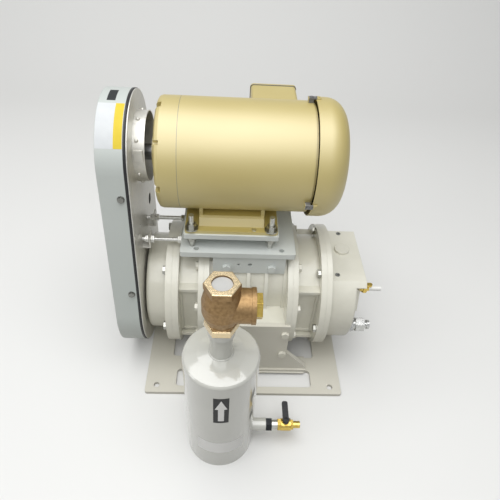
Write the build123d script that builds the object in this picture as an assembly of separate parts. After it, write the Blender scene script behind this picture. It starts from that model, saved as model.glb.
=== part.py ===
from build123d import *
import os
from math import acos, atan2, cos, hypot, pi, radians, sin, sqrt

# Belt-driven Roots vacuum pump on a steel base plate, with its drain silencer.
# Millimetres, +Z up.  Origin: on the floor, at the centre of the anchor hole pattern.
# +X runs along the shafts towards the gear case, +Y away from the silencer.

# ---- driving dimensions: arrangement -----------------------------------------------------
PUMP_AXIS_Z = 185.0         # mid height between the two rotor shafts
SHAFT_SPACING = 90.0        # rotor shafts stand one above the other, gears clear the flat top
MOTOR_Y = 43.0              # motor axis behind the pump axis
MOTOR_FEET_X = -44.0        # middle of the motor foot holes
MOTOR_SHAFT_HEIGHT = 133.35  # foot face to motor axis
BRACKET_TOP_Z = 370.0       # top face of the motor bracket
PLATE_GAP = 30.65           # bracket top face to motor plate
SILENCER_X = -58.0
SILENCER_Y = -335.0

# ---- driving dimensions: fits and clearances ---------------------------------------------
RUNNING_FIT = 0.05          # radial clearance of a shaft in its bearing or bush
SEAT_FIT = 0.02             # radial clearance of a pressed or keyed seat
ROTOR_CLEARANCE = 0.2       # rotor flank and tip clearance
ROTOR_END_CLEARANCE = 0.3
HOLE_CLEARANCE = 0.4        # radial clearance of a bolt in its hole
THREAD_FIT = 0.06           # radial gap between a thread and its nut
SHAFT_WALL_GAP = 1.0        # radial gap where a shaft passes a wall

# ---- base plate --------------------------------------------------------------------------
BASE_LENGTH = 509.0
BASE_DEPTH = 464.0
BASE_THICKNESS = 9.0
ANCHOR_SPACING_X = 452.0
ANCHOR_SPACING_Y = 422.0
ANCHOR_HOLE_R = 7.5
CENTRE_OPENING = (384.0, 244.0)
WINDOW = (156.0, 50.0)
WINDOW_OFFSET = (99.0, 188.0)
WINDOW_CORNER_R = 9.0

# ---- rotor casing ------------------------------------------------------------------------
CASING_LENGTH = 212.0
CASING_R = 98.0             # outside radius of the obround
CASING_SPREAD = 104.0       # between the arc centres of the obround
FLANGE_R = 158.0
CASING_FLANGE_T = 13.0
RIB_PITCH = 43.0
RIB_WIDTH = 9.0
RIB_HEIGHT = 9.0
CHEST_DEPTH = 151.0         # pump axis to the port face
CHEST_TOP = 198.0
CHEST_BOTTOM = 62.0
PORT_R = 26.0
PORT_Z = 128.0
CHEST_WALL = 12.0
DUCT_HALF = 70.0            # half length of the gas duct along the rotors
THROAT_HALF_HEIGHT = 17.0

# ---- side plates -------------------------------------------------------------------------
NECK_LENGTH = 46.0          # drive side; the gear side neck is longer
GEAR_NECK_LENGTH = 54.0
NECK_HALF_WIDTH = 108.0
NECK_RIB_Z = 84.0           # ledge ribs above and below the pump axis
NECK_RIB_HALF = 117.0
NECK_RIB_T = 8.0
NECK_ROUND_R = 130.0
NECK_WALL = 9.0
OUTER_FLANGE_T = 16.0
GEAR_OUTER_FLANGE_T = 14.0
FLANGE_BOLT_CIRCLE_R = 145.0
CASING_BOLT_ANGLES = (20, 60, 120, 160, 200, 240, 300, 340)
OUTER_BOLT_ANGLES = (5, 65, 125, 185, 245, 305)
FLANGE_BOLT_D = 12.0

# ---- drive end housing and gear case -----------------------------------------------------
DRUM_R = 124.0
DRUM_LENGTH = 50.0
DRUM_FLANGE_T = 15.0
DRUM_WALL = 9.0
GEAR_CASE_R = 140.0
GEAR_CASE_LENGTH = 87.0
GEAR_CASE_FLANGE_T = 13.0
GEAR_CASE_WALL = 8.0
GEAR_CASE_RING_WALL = 11.0
GEAR_CASE_TOP = 105.0       # flat top face above the pump axis
GEAR_CASE_OVERHANG = 22.0   # how far the flat top stands out past the round end

# ---- shafts, rotors, gears and bearings --------------------------------------------------
SHAFT_R = 20.0
BEARING_R = 36.0
BEARING_WIDTH = 19.0
LOBES = 3
GEAR_TEETH = 30
GEAR_WIDTH = 22.0
GEAR_BACKLASH = 0.35
PRESSURE_ANGLE = 20.0

# ---- belt drive and guard ----------------------------------------------------------------
MOTOR_PULLEY_R = 65.0
PUMP_PULLEY_R = 91.0
BELT_DEPTH = 11.0
BELT_WIDTH = 15.0
BELT_PITCH = 19.0
PULLEY_WIDTH = 44.0
GUARD_DEPTH = 60.0
GUARD_TOP_R = 133.0
GUARD_BOTTOM_R = 153.0
GUARD_BOTTOM_Z = 178.0
SHEET_T = 2.0
GUARD_GAP = 7.0             # drum end face to the guard back plate
COLLAR_R = 76.0
COLLAR_LENGTH = 25.0
COLLAR_RISE = 14.0
STAY_SPAN = 80.0
STAY_D = 10.0

# ---- motor bracket and plate -------------------------------------------------------------
BRACKET_X = (-160.0, 105.0)
BRACKET_Y = (-91.0, 177.0)
BRACKET_T = 14.0
BRACKET_WEB_BOTTOM = 302.0
BRACKET_WEB_Y = 85.0
BRACKET_WEB_T = 12.0
BRACKET_WEB_HALF = 85.0
MOTOR_PLATE_T = 12.0
MOTOR_PLATE_HALF = (107.0, 122.0)
STUD_D = 12.0

# ---- motor (213/215 foot frame) ----------------------------------------------------------
FOOT_HOLES_X = 177.8
FOOT_HOLES_SHORT_X = 139.7
FOOT_HOLES_Y = 215.9
MOTOR_R = 121.5
MOTOR_SHELL_T = 4.0
MOTOR_DRIVE_END_X = -204.0
MOTOR_SEAM_X = -157.0
MOTOR_FAN_GAP_X = 120.0
MOTOR_FAN_END_X = 194.0
MOTOR_SHAFT_R = 17.46
MOTOR_SHAFT_END = -308.0
MOTOR_SHAFT_SHOULDER = -222.0

# ---- silencer with check valve and drain cock --------------------------------------------
TANK_R = 76.5
TANK_HEIGHT = 336.0
TANK_WALL = 3.0
NECK_PIPE_R = 22.0
NECK_PIPE_BORE = 18.0
NECK_TOP_Z = 421.5
VALVE_TOP_Z = 534.5
VALVE_BODY_R = 36.0
DRAIN_Z = 48.0

# ---- stations worked out from the dimensions above ---------------------------------------
LOWER_Z = PUMP_AXIS_Z - SHAFT_SPACING / 2
UPPER_Z = PUMP_AXIS_Z + SHAFT_SPACING / 2
X_CASE = CASING_LENGTH / 2
X_SIDE = X_CASE + CASING_FLANGE_T
X_NECK = X_SIDE + NECK_LENGTH
X_OUTER = X_NECK + OUTER_FLANGE_T
X_DRUM_FLANGE = X_OUTER + DRUM_FLANGE_T
X_DRUM = X_DRUM_FLANGE + DRUM_LENGTH
X_GEAR_NECK = X_SIDE + GEAR_NECK_LENGTH
X_GEAR_OUTER = X_GEAR_NECK + GEAR_OUTER_FLANGE_T
X_GEAR_FLANGE = X_GEAR_OUTER + GEAR_CASE_FLANGE_T
X_GEAR_END = X_GEAR_FLANGE + GEAR_CASE_LENGTH
X_GEAR_FACE = X_GEAR_END - GEAR_CASE_OVERHANG
X_GUARD_BACK = -(X_DRUM + GUARD_GAP)
X_GUARD_FRONT = X_GUARD_BACK - GUARD_DEPTH
PITCH_R = SHAFT_SPACING / 2
ROTOR_TIP_R = PITCH_R * (1 + 1 / LOBES) - ROTOR_CLEARANCE
ROTOR_BORE_R = ROTOR_TIP_R + ROTOR_CLEARANCE
MOTOR_PLATE_BOTTOM = BRACKET_TOP_Z + PLATE_GAP
MOTOR_FOOT_Z = MOTOR_PLATE_BOTTOM + MOTOR_PLATE_T
MOTOR_Z = MOTOR_FOOT_Z + MOTOR_SHAFT_HEIGHT
PULLEY_X = (X_GUARD_FRONT + X_GUARD_BACK) / 2

parts = {}


# ---- small helpers -----------------------------------------------------------------------
def block(x0, x1, y0, y1, z0, z1):
    """Rectangular block between two corners."""
    return Pos((x0 + x1) / 2, (y0 + y1) / 2, (z0 + z1) / 2) * Box(x1 - x0, y1 - y0, z1 - z0)


def along_x(sketch, x0, x1):
    """Extrude a sketch drawn in (Y, Z) between two X stations."""
    return extrude(Plane.YZ.offset(min(x0, x1)) * sketch, abs(x1 - x0))


def along_y(sketch, y0, y1):
    """Extrude a sketch drawn in (X, Z) between two Y stations."""
    return extrude(Plane.XZ.offset(-max(y0, y1)) * sketch, abs(y1 - y0))


def along_z(sketch, z0, z1):
    """Extrude a sketch drawn in (X, Y) between two heights."""
    return extrude(Plane.XY.offset(min(z0, z1)) * sketch, abs(z1 - z0))


def disc_x(radius, x0, x1, y=0.0, z=PUMP_AXIS_Z):
    return along_x(Pos(y, z) * Circle(radius), x0, x1)


def disc_y(radius, y0, y1, x, z):
    return along_y(Pos(x, z) * Circle(radius), y0, y1)


def disc_z(radius, z0, z1, x, y):
    return along_z(Pos(x, y) * Circle(radius), z0, z1)


def hexagon(across_flats, turn=0.0):
    return RegularPolygon(across_flats / 2, 6, major_radius=False, rotation=turn)


def upright_slot(radius, spacing=CASING_SPREAD, z=PUMP_AXIS_Z):
    """Obround about two points one above the other, drawn in (Y, Z)."""
    return Pos(0, z) * SlotCenterToCenter(spacing, 2 * radius, rotation=90)


def aimed(shape, point, direction):
    """Put a shape built along its own +Z at a point, looking in a direction."""
    return Plane(origin=point, z_dir=direction) * shape


def turned_x(profile, y=0.0, z=PUMP_AXIS_Z):
    """Revolve an (X, radius) outline about the X line through (y, z)."""
    face = make_face(Polyline(*profile, close=True))
    return Pos(0, y, z) * revolve(Plane.XY * face, Axis.X)


def hex_bolt(d, grip):
    """Hexagon head bolt: head face on the XY plane, shank down -Z."""
    head = extrude(hexagon(1.5 * d), 0.62 * d)
    washer_face = extrude(Circle(0.8 * d), 0.1 * d)
    shank = Pos(0, 0, -grip / 2) * Cylinder(d / 2, grip)
    return head + washer_face + shank


def nut(d, height=0.0):
    """Hexagon nut standing on the XY plane, bored to run on a thread."""
    tall = height or 0.8 * d
    blank = extrude(hexagon(1.55 * d), tall)
    return blank - Pos(0, 0, tall / 2) * Cylinder(d / 2 + THREAD_FIT, 2 * tall)


def washer(d, outer_r, thick):
    ring = Cylinder(outer_r, thick) - Cylinder(d / 2 + HOLE_CLEARANCE, 2 * thick)
    return Pos(0, 0, thick / 2) * ring


def group(*pieces):
    """Separate solids that share one node."""
    return Compound([solid for piece in pieces for solid in piece.solids()])


def on_circle(angles, radius, z=PUMP_AXIS_Z):
    """Places on a circle about the pump axis, as (Y, Z) pairs."""
    return [(radius * cos(radians(a)), z + radius * sin(radians(a))) for a in angles]


def flange_holes(angles, x0, x1):
    """Bolt holes of the round flanges between two stations."""
    places = on_circle(angles, FLANGE_BOLT_CIRCLE_R)
    return [disc_x(FLANGE_BOLT_D / 2 + HOLE_CLEARANCE, x0, x1, y, z) for y, z in places]


# ---- base plate --------------------------------------------------------------------------
def base_plate():
    outline = RectangleRounded(BASE_LENGTH, BASE_DEPTH, 6)
    outline -= RectangleRounded(*CENTRE_OPENING, WINDOW_CORNER_R)
    for sx in (-1, 1):
        for sy in (-1, 1):
            place = Pos(sx * WINDOW_OFFSET[0], sy * WINDOW_OFFSET[1])
            outline -= place * RectangleRounded(*WINDOW, WINDOW_CORNER_R)
            outline -= Pos(sx * ANCHOR_SPACING_X / 2, sy * ANCHOR_SPACING_Y / 2) * Circle(ANCHOR_HOLE_R)
    return along_z(outline, 0, BASE_THICKNESS)


# ---- support feet: a flanged plate bolted to each port chest -----------------------------
FOOT_PLATE_T = 12.0
FOOT_STRIP_T = 11.0
FOOT_STRIP_HALF = 165.0
FOOT_STRIP_Y = (125.0, 168.0)
FOOT_SHOULDER_Z = 92.0
FOOT_BOLTS_X = 95.0
FOOT_BOLTS_Z = (88.0, 168.0)


def support_foot(side):
    """Plate standing on the base plate; side is -1 at the front and +1 at the back."""
    y_in, y_out = side * CHEST_DEPTH, side * (CHEST_DEPTH + FOOT_PLATE_T)
    floor_z = BASE_THICKNESS
    outline = make_face(Polyline(
        (-FOOT_STRIP_HALF, floor_z), (FOOT_STRIP_HALF, floor_z),
        (FOOT_STRIP_HALF, floor_z + FOOT_STRIP_T + 6), (X_CASE, FOOT_SHOULDER_Z),
        (X_CASE, CHEST_TOP), (-X_CASE, CHEST_TOP),
        (-X_CASE, FOOT_SHOULDER_Z), (-FOOT_STRIP_HALF, floor_z + FOOT_STRIP_T + 6), close=True))
    outline -= Pos(0, PORT_Z) * Circle(PORT_R)
    for x in (-FOOT_BOLTS_X, FOOT_BOLTS_X):
        for z in FOOT_BOLTS_Z:
            outline -= Pos(x, z) * Circle(FLANGE_BOLT_D / 2 + HOLE_CLEARANCE)
    plate = along_y(outline, y_in, y_out)
    strip_y = sorted((side * FOOT_STRIP_Y[0], side * FOOT_STRIP_Y[1]))
    strip = block(-FOOT_STRIP_HALF, FOOT_STRIP_HALF, *strip_y, floor_z, floor_z + FOOT_STRIP_T)
    return plate + strip


def foot_bolts():
    bolts = []
    for side in (-1, 1):
        for x in (-FOOT_BOLTS_X, FOOT_BOLTS_X):
            for z in FOOT_BOLTS_Z:
                face = (x, side * (CHEST_DEPTH + FOOT_PLATE_T), z)
                bolts.append(aimed(hex_bolt(FLANGE_BOLT_D, FOOT_PLATE_T + 20), face, (0, side, 0)))
    return Compound(bolts)


# ---- rotor casing ------------------------------------------------------------------------
PAD_HALF = 78.0
PAD_TOP = 338.0
PAD_DEPTH = 30.0
WEB_BOLT_X = 53.0
WEB_BOLT_Z = 320.0


def gas_duct(side):
    """Plenum behind the port and the throat that opens on the meeting line of the rotors."""
    plenum_y = sorted((side * (CHEST_DEPTH - CHEST_WALL), side * (CASING_R - CHEST_WALL)))
    throat_y = sorted((side * (CASING_R - CHEST_WALL + 2), side * PITCH_R * 0.8))
    plenum = block(-DUCT_HALF, DUCT_HALF, *plenum_y, CHEST_BOTTOM + CHEST_WALL, CHEST_TOP - CHEST_WALL)
    throat = block(-DUCT_HALF, DUCT_HALF, *throat_y,
                   PUMP_AXIS_Z - THROAT_HALF_HEIGHT, PUMP_AXIS_Z + THROAT_HALF_HEIGHT)
    return plenum + throat


def pump_casing():
    """Obround casting with end flanges, ribs, port chests and pads for the motor bracket."""
    body = along_x(upright_slot(CASING_R), -X_CASE, X_CASE)
    for sign in (-1, 1):
        body += disc_x(FLANGE_R, sign * X_CASE, sign * (X_CASE - CASING_FLANGE_T))
        step = upright_slot(CASING_R + RIB_HEIGHT / 2)
        body += along_x(step, sign * (X_CASE - CASING_FLANGE_T), sign * (X_CASE - CASING_FLANGE_T - RIB_WIDTH))
    for x in (-RIB_PITCH, 0, RIB_PITCH):
        body += along_x(upright_slot(CASING_R + RIB_HEIGHT), x - RIB_WIDTH / 2, x + RIB_WIDTH / 2)
    for side in (-1, 1):
        ys = sorted((0, side * CHEST_DEPTH))
        body += block(-X_CASE, X_CASE, *ys, CHEST_BOTTOM, CHEST_TOP)
        pad_face = side * (BRACKET_WEB_Y - BRACKET_WEB_T)
        pad_y = sorted((pad_face, pad_face - side * PAD_DEPTH))
        body += block(-PAD_HALF, PAD_HALF, *pad_y, UPPER_Z, PAD_TOP)
        for x in (-FOOT_BOLTS_X, FOOT_BOLTS_X):
            for z in FOOT_BOLTS_Z:
                hole_r = FLANGE_BOLT_D / 2 + HOLE_CLEARANCE
                body -= disc_y(hole_r, side * CHEST_DEPTH, side * (CHEST_DEPTH - 24), x, z)
        for x in (-WEB_BOLT_X, WEB_BOLT_X):
            body -= disc_y(FLANGE_BOLT_D / 2 + HOLE_CLEARANCE, pad_face, pad_face - side * 24, x, WEB_BOLT_Z)
        body -= disc_y(PORT_R, side * CHEST_DEPTH, side * (CHEST_DEPTH - 2 * CHEST_WALL), 0, PORT_Z)
        body -= gas_duct(side)
        foot_face = sorted((side * CHEST_DEPTH, side * FLANGE_R))
        body -= block(-X_CASE, X_CASE, *foot_face, CHEST_BOTTOM, CHEST_TOP)
        web_seat = sorted((side * (BRACKET_WEB_Y - BRACKET_WEB_T), side * (CASING_R + RIB_HEIGHT)))
        body -= block(-BRACKET_WEB_HALF, BRACKET_WEB_HALF, *web_seat, BRACKET_WEB_BOTTOM, PAD_TOP)
    body -= disc_x(ROTOR_BORE_R, -X_CASE, X_CASE, 0, LOWER_Z)
    body -= disc_x(ROTOR_BORE_R, -X_CASE, X_CASE, 0, UPPER_Z)
    for sign in (-1, 1):
        for cut in flange_holes(CASING_BOLT_ANGLES, sign * X_CASE, sign * (X_CASE - CASING_FLANGE_T)):
            body -= cut
    return body


# ---- side plates: casing flange, hollow neck and bearing wall ----------------------------
SEAL_R = 30.0
SEAL_WIDTH = 8.0
BEARING_BOSS_R = 46.0
BEARING_BOSS_DEPTH = 11.0
PANEL_DEPTH = 4.0
PANEL_HALF_HEIGHT = 66.0


def neck_outline(inset=0.0):
    """Round section with flat front and back faces, drawn in (Y, Z)."""
    width = 2 * (NECK_HALF_WIDTH - inset)
    ring = Circle(NECK_ROUND_R - inset) & Rectangle(width, 3 * NECK_ROUND_R)
    return Pos(0, PUMP_AXIS_Z) * ring


def side_plate(sign, neck_end, outer_face):
    """End wall of the casing with the bearing wall carried on a hollow neck."""
    plate = disc_x(FLANGE_R, sign * X_CASE, sign * X_SIDE)
    plate += disc_x(FLANGE_R, sign * neck_end, sign * outer_face)
    plate += along_x(neck_outline() - neck_outline(NECK_WALL), sign * X_SIDE, sign * neck_end)
    xs = sorted((sign * X_SIDE, sign * neck_end))
    for dz in (-NECK_RIB_Z, NECK_RIB_Z):
        rib = block(*xs, -NECK_RIB_HALF, NECK_RIB_HALF,
                    PUMP_AXIS_Z + dz - NECK_RIB_T / 2, PUMP_AXIS_Z + dz + NECK_RIB_T / 2)
        plate += rib - along_x(neck_outline(NECK_WALL), *xs)
    for side in (-1, 1):
        ys = sorted((side * NECK_HALF_WIDTH, side * (NECK_HALF_WIDTH - PANEL_DEPTH)))
        plate -= block(xs[0] + 6, xs[1] - 6, *ys,
                       PUMP_AXIS_Z - PANEL_HALF_HEIGHT, PUMP_AXIS_Z + PANEL_HALF_HEIGHT)
    for z in (LOWER_Z, UPPER_Z):
        plate += disc_x(BEARING_BOSS_R, sign * (neck_end - BEARING_BOSS_DEPTH), sign * neck_end, 0, z)
    for z in (LOWER_Z, UPPER_Z):
        seat = outer_face - BEARING_WIDTH - 1
        plate -= disc_x(BEARING_R + SEAT_FIT, sign * seat, sign * outer_face, 0, z)
        plate -= disc_x(SHAFT_R + SHAFT_WALL_GAP, sign * X_CASE, sign * outer_face, 0, z)
        plate -= disc_x(SEAL_R + SEAT_FIT, sign * (X_SIDE - SEAL_WIDTH), sign * X_SIDE, 0, z)
    for cut in flange_holes(CASING_BOLT_ANGLES, sign * X_CASE, sign * X_SIDE):
        plate -= cut
    for cut in flange_holes(OUTER_BOLT_ANGLES, sign * neck_end, sign * outer_face):
        plate -= cut
    return plate


def casing_bolts():
    """Bolts through both casing joints, heads on the neck side."""
    bolts = []
    for sign in (-1, 1):
        for y, z in on_circle(CASING_BOLT_ANGLES, FLANGE_BOLT_CIRCLE_R):
            bolt = hex_bolt(FLANGE_BOLT_D, CASING_FLANGE_T * 2 - 2)
            bolts.append(aimed(bolt, (sign * X_SIDE, y, z), (sign, 0, 0)))
    return Compound(bolts)


def outer_bolts(seat_x, end_x):
    """Screws of the drum or gear case joint, all with their heads towards the drive end."""
    bolts = []
    for y, z in on_circle(OUTER_BOLT_ANGLES, FLANGE_BOLT_CIRCLE_R):
        bolt = hex_bolt(FLANGE_BOLT_D, end_x - seat_x - 1)
        bolts.append(aimed(bolt, (seat_x, y, z), (-1, 0, 0)))
    return Compound(bolts)


# ---- drive end housing: the round drum behind the belt guard -----------------------------
DRUM_CORNER_R = 9.0


def drive_end_housing():
    shell = disc_x(FLANGE_R, -X_DRUM_FLANGE, -X_OUTER)
    drum = disc_x(DRUM_R, -X_DRUM, -X_DRUM_FLANGE)
    rim = drum.edges().filter_by(GeomType.CIRCLE).sort_by(Axis.X)[0]
    shell += fillet(rim, DRUM_CORNER_R)
    shell -= disc_x(DRUM_R - DRUM_WALL, -(X_DRUM - DRUM_WALL), -X_OUTER)
    shell -= disc_x(SHAFT_R + SHAFT_WALL_GAP, -X_DRUM, -X_OUTER, 0, LOWER_Z)
    shell -= disc_x(SEAL_R + SEAT_FIT, -X_DRUM, -(X_DRUM - SEAL_WIDTH), 0, LOWER_Z)
    for cut in flange_holes(OUTER_BOLT_ANGLES, -X_DRUM_FLANGE, -X_OUTER):
        shell -= cut
    return shell


# ---- gear case ---------------------------------------------------------------------------
GEAR_CASE_EDGE_R = 6.0
FILLER_BOSS_R = 24.0
FILLER_X = X_GEAR_FLANGE + 42.0
FILLER_Y = 18.0
FILLER_HOLE_R = 13.0
COCK_Y = -82.0
COCK_Z = 256.0
COCK_HOLE_R = 6.5
DRAIN_Y = -104.0
DRAIN_HOLE_Z = 140.0
DRAIN_HOLE_R = 8.0
PLUG_PLACES = ((X_GEAR_FLANGE + 43.0, 82.0), (X_GEAR_FLANGE + 18.0, -72.0))
PLUG_R = 6.0
EAR_T = 9.0
TOP_SHELF_T = 12.0


def gear_case_outline(inset=0.0):
    """Round case section with a flat top, drawn in (Y, Z)."""
    top = GEAR_CASE_TOP - inset
    keep = Pos(0, top - 2 * GEAR_CASE_R) * Rectangle(4 * GEAR_CASE_R, 4 * GEAR_CASE_R)
    return Pos(0, PUMP_AXIS_Z) * (Circle(GEAR_CASE_R - inset) & keep)


def gear_case():
    body = along_x(gear_case_outline(), X_GEAR_FLANGE, X_GEAR_FACE)
    body = fillet(body.faces().sort_by(Axis.X)[-1].edges(), GEAR_CASE_EDGE_R)
    top_z = PUMP_AXIS_Z + GEAR_CASE_TOP
    shelf_band = Pos(0, top_z - TOP_SHELF_T / 2) * Rectangle(2 * GEAR_CASE_R, TOP_SHELF_T)
    body += along_x(gear_case_outline() & shelf_band, X_GEAR_FLANGE, X_GEAR_END)
    body += disc_x(FLANGE_R, X_GEAR_OUTER, X_GEAR_FLANGE)
    ear = make_face(Polyline((COCK_Y + 22, COCK_Z + 10), (COCK_Y - 16, COCK_Z + 8),
                             (COCK_Y - 34, COCK_Z - 48), (COCK_Y + 12, COCK_Z - 56), close=True))
    body += along_x(ear, X_GEAR_FACE - EAR_T, X_GEAR_FACE + EAR_T)
    round_wall = Pos(0, PUMP_AXIS_Z) * Circle(GEAR_CASE_R - GEAR_CASE_RING_WALL)
    cavity = gear_case_outline(GEAR_CASE_WALL) & round_wall
    body -= along_x(cavity, X_GEAR_OUTER, X_GEAR_FACE - GEAR_CASE_WALL)
    body -= disc_z(FILLER_HOLE_R, top_z - GEAR_CASE_WALL, top_z, FILLER_X, FILLER_Y)
    for x, y in PLUG_PLACES:
        body -= disc_z(PLUG_R, top_z - GEAR_CASE_WALL, top_z, x, y)
    inner_face = X_GEAR_FACE - GEAR_CASE_WALL
    body -= disc_x(COCK_HOLE_R, inner_face, X_GEAR_FACE + EAR_T, COCK_Y, COCK_Z)
    body -= disc_x(DRAIN_HOLE_R, inner_face, X_GEAR_FACE, DRAIN_Y, DRAIN_HOLE_Z)
    for cut in flange_holes(OUTER_BOLT_ANGLES, X_GEAR_OUTER, X_GEAR_FLANGE):
        body -= cut
    return body


def oil_filler_plug():
    """Round screwed plug on the flat top of the gear case."""
    top_z = PUMP_AXIS_Z + GEAR_CASE_TOP
    head = fillet(Cylinder(FILLER_BOSS_R - 5, 7).edges().sort_by(Axis.Z)[-1], 1.5)
    shank = Cylinder(FILLER_HOLE_R - HOLE_CLEARANCE, GEAR_CASE_WALL + 4)
    return Pos(FILLER_X, FILLER_Y, top_z + 3.5) * head + Pos(FILLER_X, FILLER_Y, top_z - 5) * shank


def socket_plugs():
    """Socket head pipe plugs let into the top of the gear case."""
    top_z = PUMP_AXIS_Z + GEAR_CASE_TOP
    plugs = []
    for x, y in PLUG_PLACES:
        body = Cylinder(PLUG_R - SEAT_FIT, 9) - Pos(0, 0, 2) * extrude(hexagon(6), 6)
        plugs.append(Pos(x, y, top_z - 3.5) * body)
    return Compound(plugs)


def oil_cock_body():
    """Brass cock screwed into the ear of the gear case, with a spout to the right."""
    x0 = X_GEAR_FACE + EAR_T
    body = along_x(Pos(COCK_Y, COCK_Z) * hexagon(17), x0, x0 + 7)
    body += disc_x(7, x0 + 7, x0 + 26, COCK_Y, COCK_Z)
    body += disc_x(COCK_HOLE_R - HOLE_CLEARANCE, X_GEAR_FACE - 2, x0, COCK_Y, COCK_Z)
    body += disc_z(8.5, COCK_Z - 9, COCK_Z + 9, x0 + 16, COCK_Y)
    body -= disc_z(5 + RUNNING_FIT, COCK_Z - 6, COCK_Z + 9, x0 + 16, COCK_Y)
    return body


def oil_cock_handle():
    """Tapered plug with a flat wing handle; it turns a quarter turn."""
    x0 = X_GEAR_FACE + EAR_T + 16
    plug = disc_z(5, COCK_Z - 5.7, COCK_Z + 12, x0, COCK_Y)
    wing = extrude(Plane.XY.offset(COCK_Z + 9.3) * Pos(x0, COCK_Y) * SlotOverall(34, 10), 5)
    return plug + wing


def oil_cock_spout():
    """White plastic outlet tube pushed on the cock."""
    x0 = X_GEAR_FACE + EAR_T + 26
    return disc_x(6, x0, x0 + 30, COCK_Y, COCK_Z) - disc_x(4, x0 + 3, x0 + 30, COCK_Y, COCK_Z)


def oil_drain_fitting():
    """Nickel plated drain coupling: two hexagons with a hose tail."""
    x0 = X_GEAR_FACE
    body = disc_x(DRAIN_HOLE_R - HOLE_CLEARANCE, x0 - 6, x0, DRAIN_Y, DRAIN_HOLE_Z)
    body += along_x(Pos(DRAIN_Y, DRAIN_HOLE_Z) * hexagon(36), x0, x0 + 12)
    body += disc_x(13, x0 + 12, x0 + 20, DRAIN_Y, DRAIN_HOLE_Z)
    body += along_x(Pos(DRAIN_Y, DRAIN_HOLE_Z) * hexagon(33, 15), x0 + 20, x0 + 42)
    body += disc_x(9, x0 + 42, x0 + 50, DRAIN_Y, DRAIN_HOLE_Z)
    body += disc_x(12, x0 + 50, x0 + 56, DRAIN_Y, DRAIN_HOLE_Z)
    return body - disc_x(5, x0 + 30, x0 + 56, DRAIN_Y, DRAIN_HOLE_Z)


# ---- rotors, shafts and timing gears -----------------------------------------------------
PULLEY_SEAT_R = 16.0
DRIVE_SHAFT_END = X_GUARD_FRONT + 8.0
GEAR_X = X_GEAR_OUTER + 20.0
GEAR_NUT_R = 29.0
GEAR_NUT_T = 10.0
GEAR_SHAFT_TAIL = 6.0


def rotor_outline(turn):
    """Three-lobed cycloidal outline: epicycloid lobes, hypocycloid hollows, less the clearance."""
    rolling_r = PITCH_R / (2 * LOBES)
    steps = 8
    points = []
    for lobe in range(2 * LOBES):
        start = radians(turn - 90 / LOBES + lobe * 180 / LOBES)
        outward = 1 if lobe % 2 == 0 else -1
        for i in range(steps):
            t = i / steps * pi / LOBES
            arm = PITCH_R + outward * rolling_r
            spin = arm / rolling_r * t
            x = arm * cos(t) - outward * rolling_r * cos(spin)
            y = arm * sin(t) - rolling_r * sin(spin)
            radius, angle = hypot(x, y), atan2(y, x) + start
            contact = (PITCH_R * cos(t + start), PITCH_R * sin(t + start))
            px, py = radius * cos(angle), radius * sin(angle)
            nx, ny = px - contact[0], py - contact[1]
            size = hypot(nx, ny) or 1.0
            if i == 0:
                nx, ny, size = outward * sin(start), -outward * cos(start), 1.0
            shift = ROTOR_CLEARANCE * (1 if i == 0 else outward)
            points.append((px - shift * nx / size, py - shift * ny / size))
    points.append(points[0])
    arcs = [ThreePointArc(*points[i:i + 3]) for i in range(0, len(points) - 1, 2)]
    return make_face(Wire(arcs))


def rotor(z, turn):
    half = X_CASE - ROTOR_END_CLEARANCE
    outline = Pos(0, z) * (rotor_outline(turn) - Circle(SHAFT_R + SEAT_FIT))
    return along_x(outline, -half, half)


def involute_angle(r, base_r):
    return sqrt((r / base_r) ** 2 - 1) - acos(base_r / r)


def half_tooth_angle(r):
    """Half the angle a tooth takes up at a radius, less the backlash."""
    base_r = PITCH_R * cos(radians(PRESSURE_ANGLE))
    half_pitch = pi / (2 * GEAR_TEETH) - GEAR_BACKLASH / (2 * PITCH_R)
    return half_pitch + involute_angle(PITCH_R, base_r) - involute_angle(max(r, base_r), base_r)


def gear_outline(tooth_angle):
    """Involute spur gear outline with one tooth centred on the given angle."""
    base_r = PITCH_R * cos(radians(PRESSURE_ANGLE))
    module = 2 * PITCH_R / GEAR_TEETH
    flank = [PITCH_R - 1.25 * module, base_r + 0.6, PITCH_R, PITCH_R + module - 0.2]
    points = []
    for tooth in range(GEAR_TEETH):
        middle = radians(tooth_angle) + 2 * pi * tooth / GEAR_TEETH
        for r in flank:
            a = middle - half_tooth_angle(r)
            points.append((r * cos(a), r * sin(a)))
        for r in reversed(flank):
            a = middle + half_tooth_angle(r)
            points.append((r * cos(a), r * sin(a)))
    return make_face(Polyline(*points, close=True))


def timing_gear(z, tooth_angle):
    outline = Pos(0, z) * (gear_outline(tooth_angle) - Circle(SHAFT_R + SEAT_FIT))
    gear = along_x(outline, GEAR_X, GEAR_X + GEAR_WIDTH)
    for x in (GEAR_X, GEAR_X + GEAR_WIDTH - 5):
        gear -= disc_x(PITCH_R - 9, x, x + 5, 0, z) - disc_x(SHAFT_R + 10, x, x + 5, 0, z)
    return gear


def gear_nut(z):
    x0 = GEAR_X + GEAR_WIDTH
    outline = Pos(0, z) * (hexagon(2 * GEAR_NUT_R - 6) - Circle(SHAFT_R + THREAD_FIT))
    return along_x(outline, x0, x0 + GEAR_NUT_T)


def drive_shaft():
    """Lower shaft: pulley seat at the guard end, timing gear at the other."""
    tail = GEAR_X + GEAR_WIDTH + GEAR_NUT_T + GEAR_SHAFT_TAIL
    seat = PULLEY_X + PULLEY_WIDTH / 2
    return turned_x([(DRIVE_SHAFT_END, 0), (DRIVE_SHAFT_END, PULLEY_SEAT_R - 1.5),
                     (DRIVE_SHAFT_END + 1.5, PULLEY_SEAT_R), (seat, PULLEY_SEAT_R),
                     (seat, SHAFT_R), (tail - 1.5, SHAFT_R), (tail, SHAFT_R - 1.5), (tail, 0)],
                    0, LOWER_Z)


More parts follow.
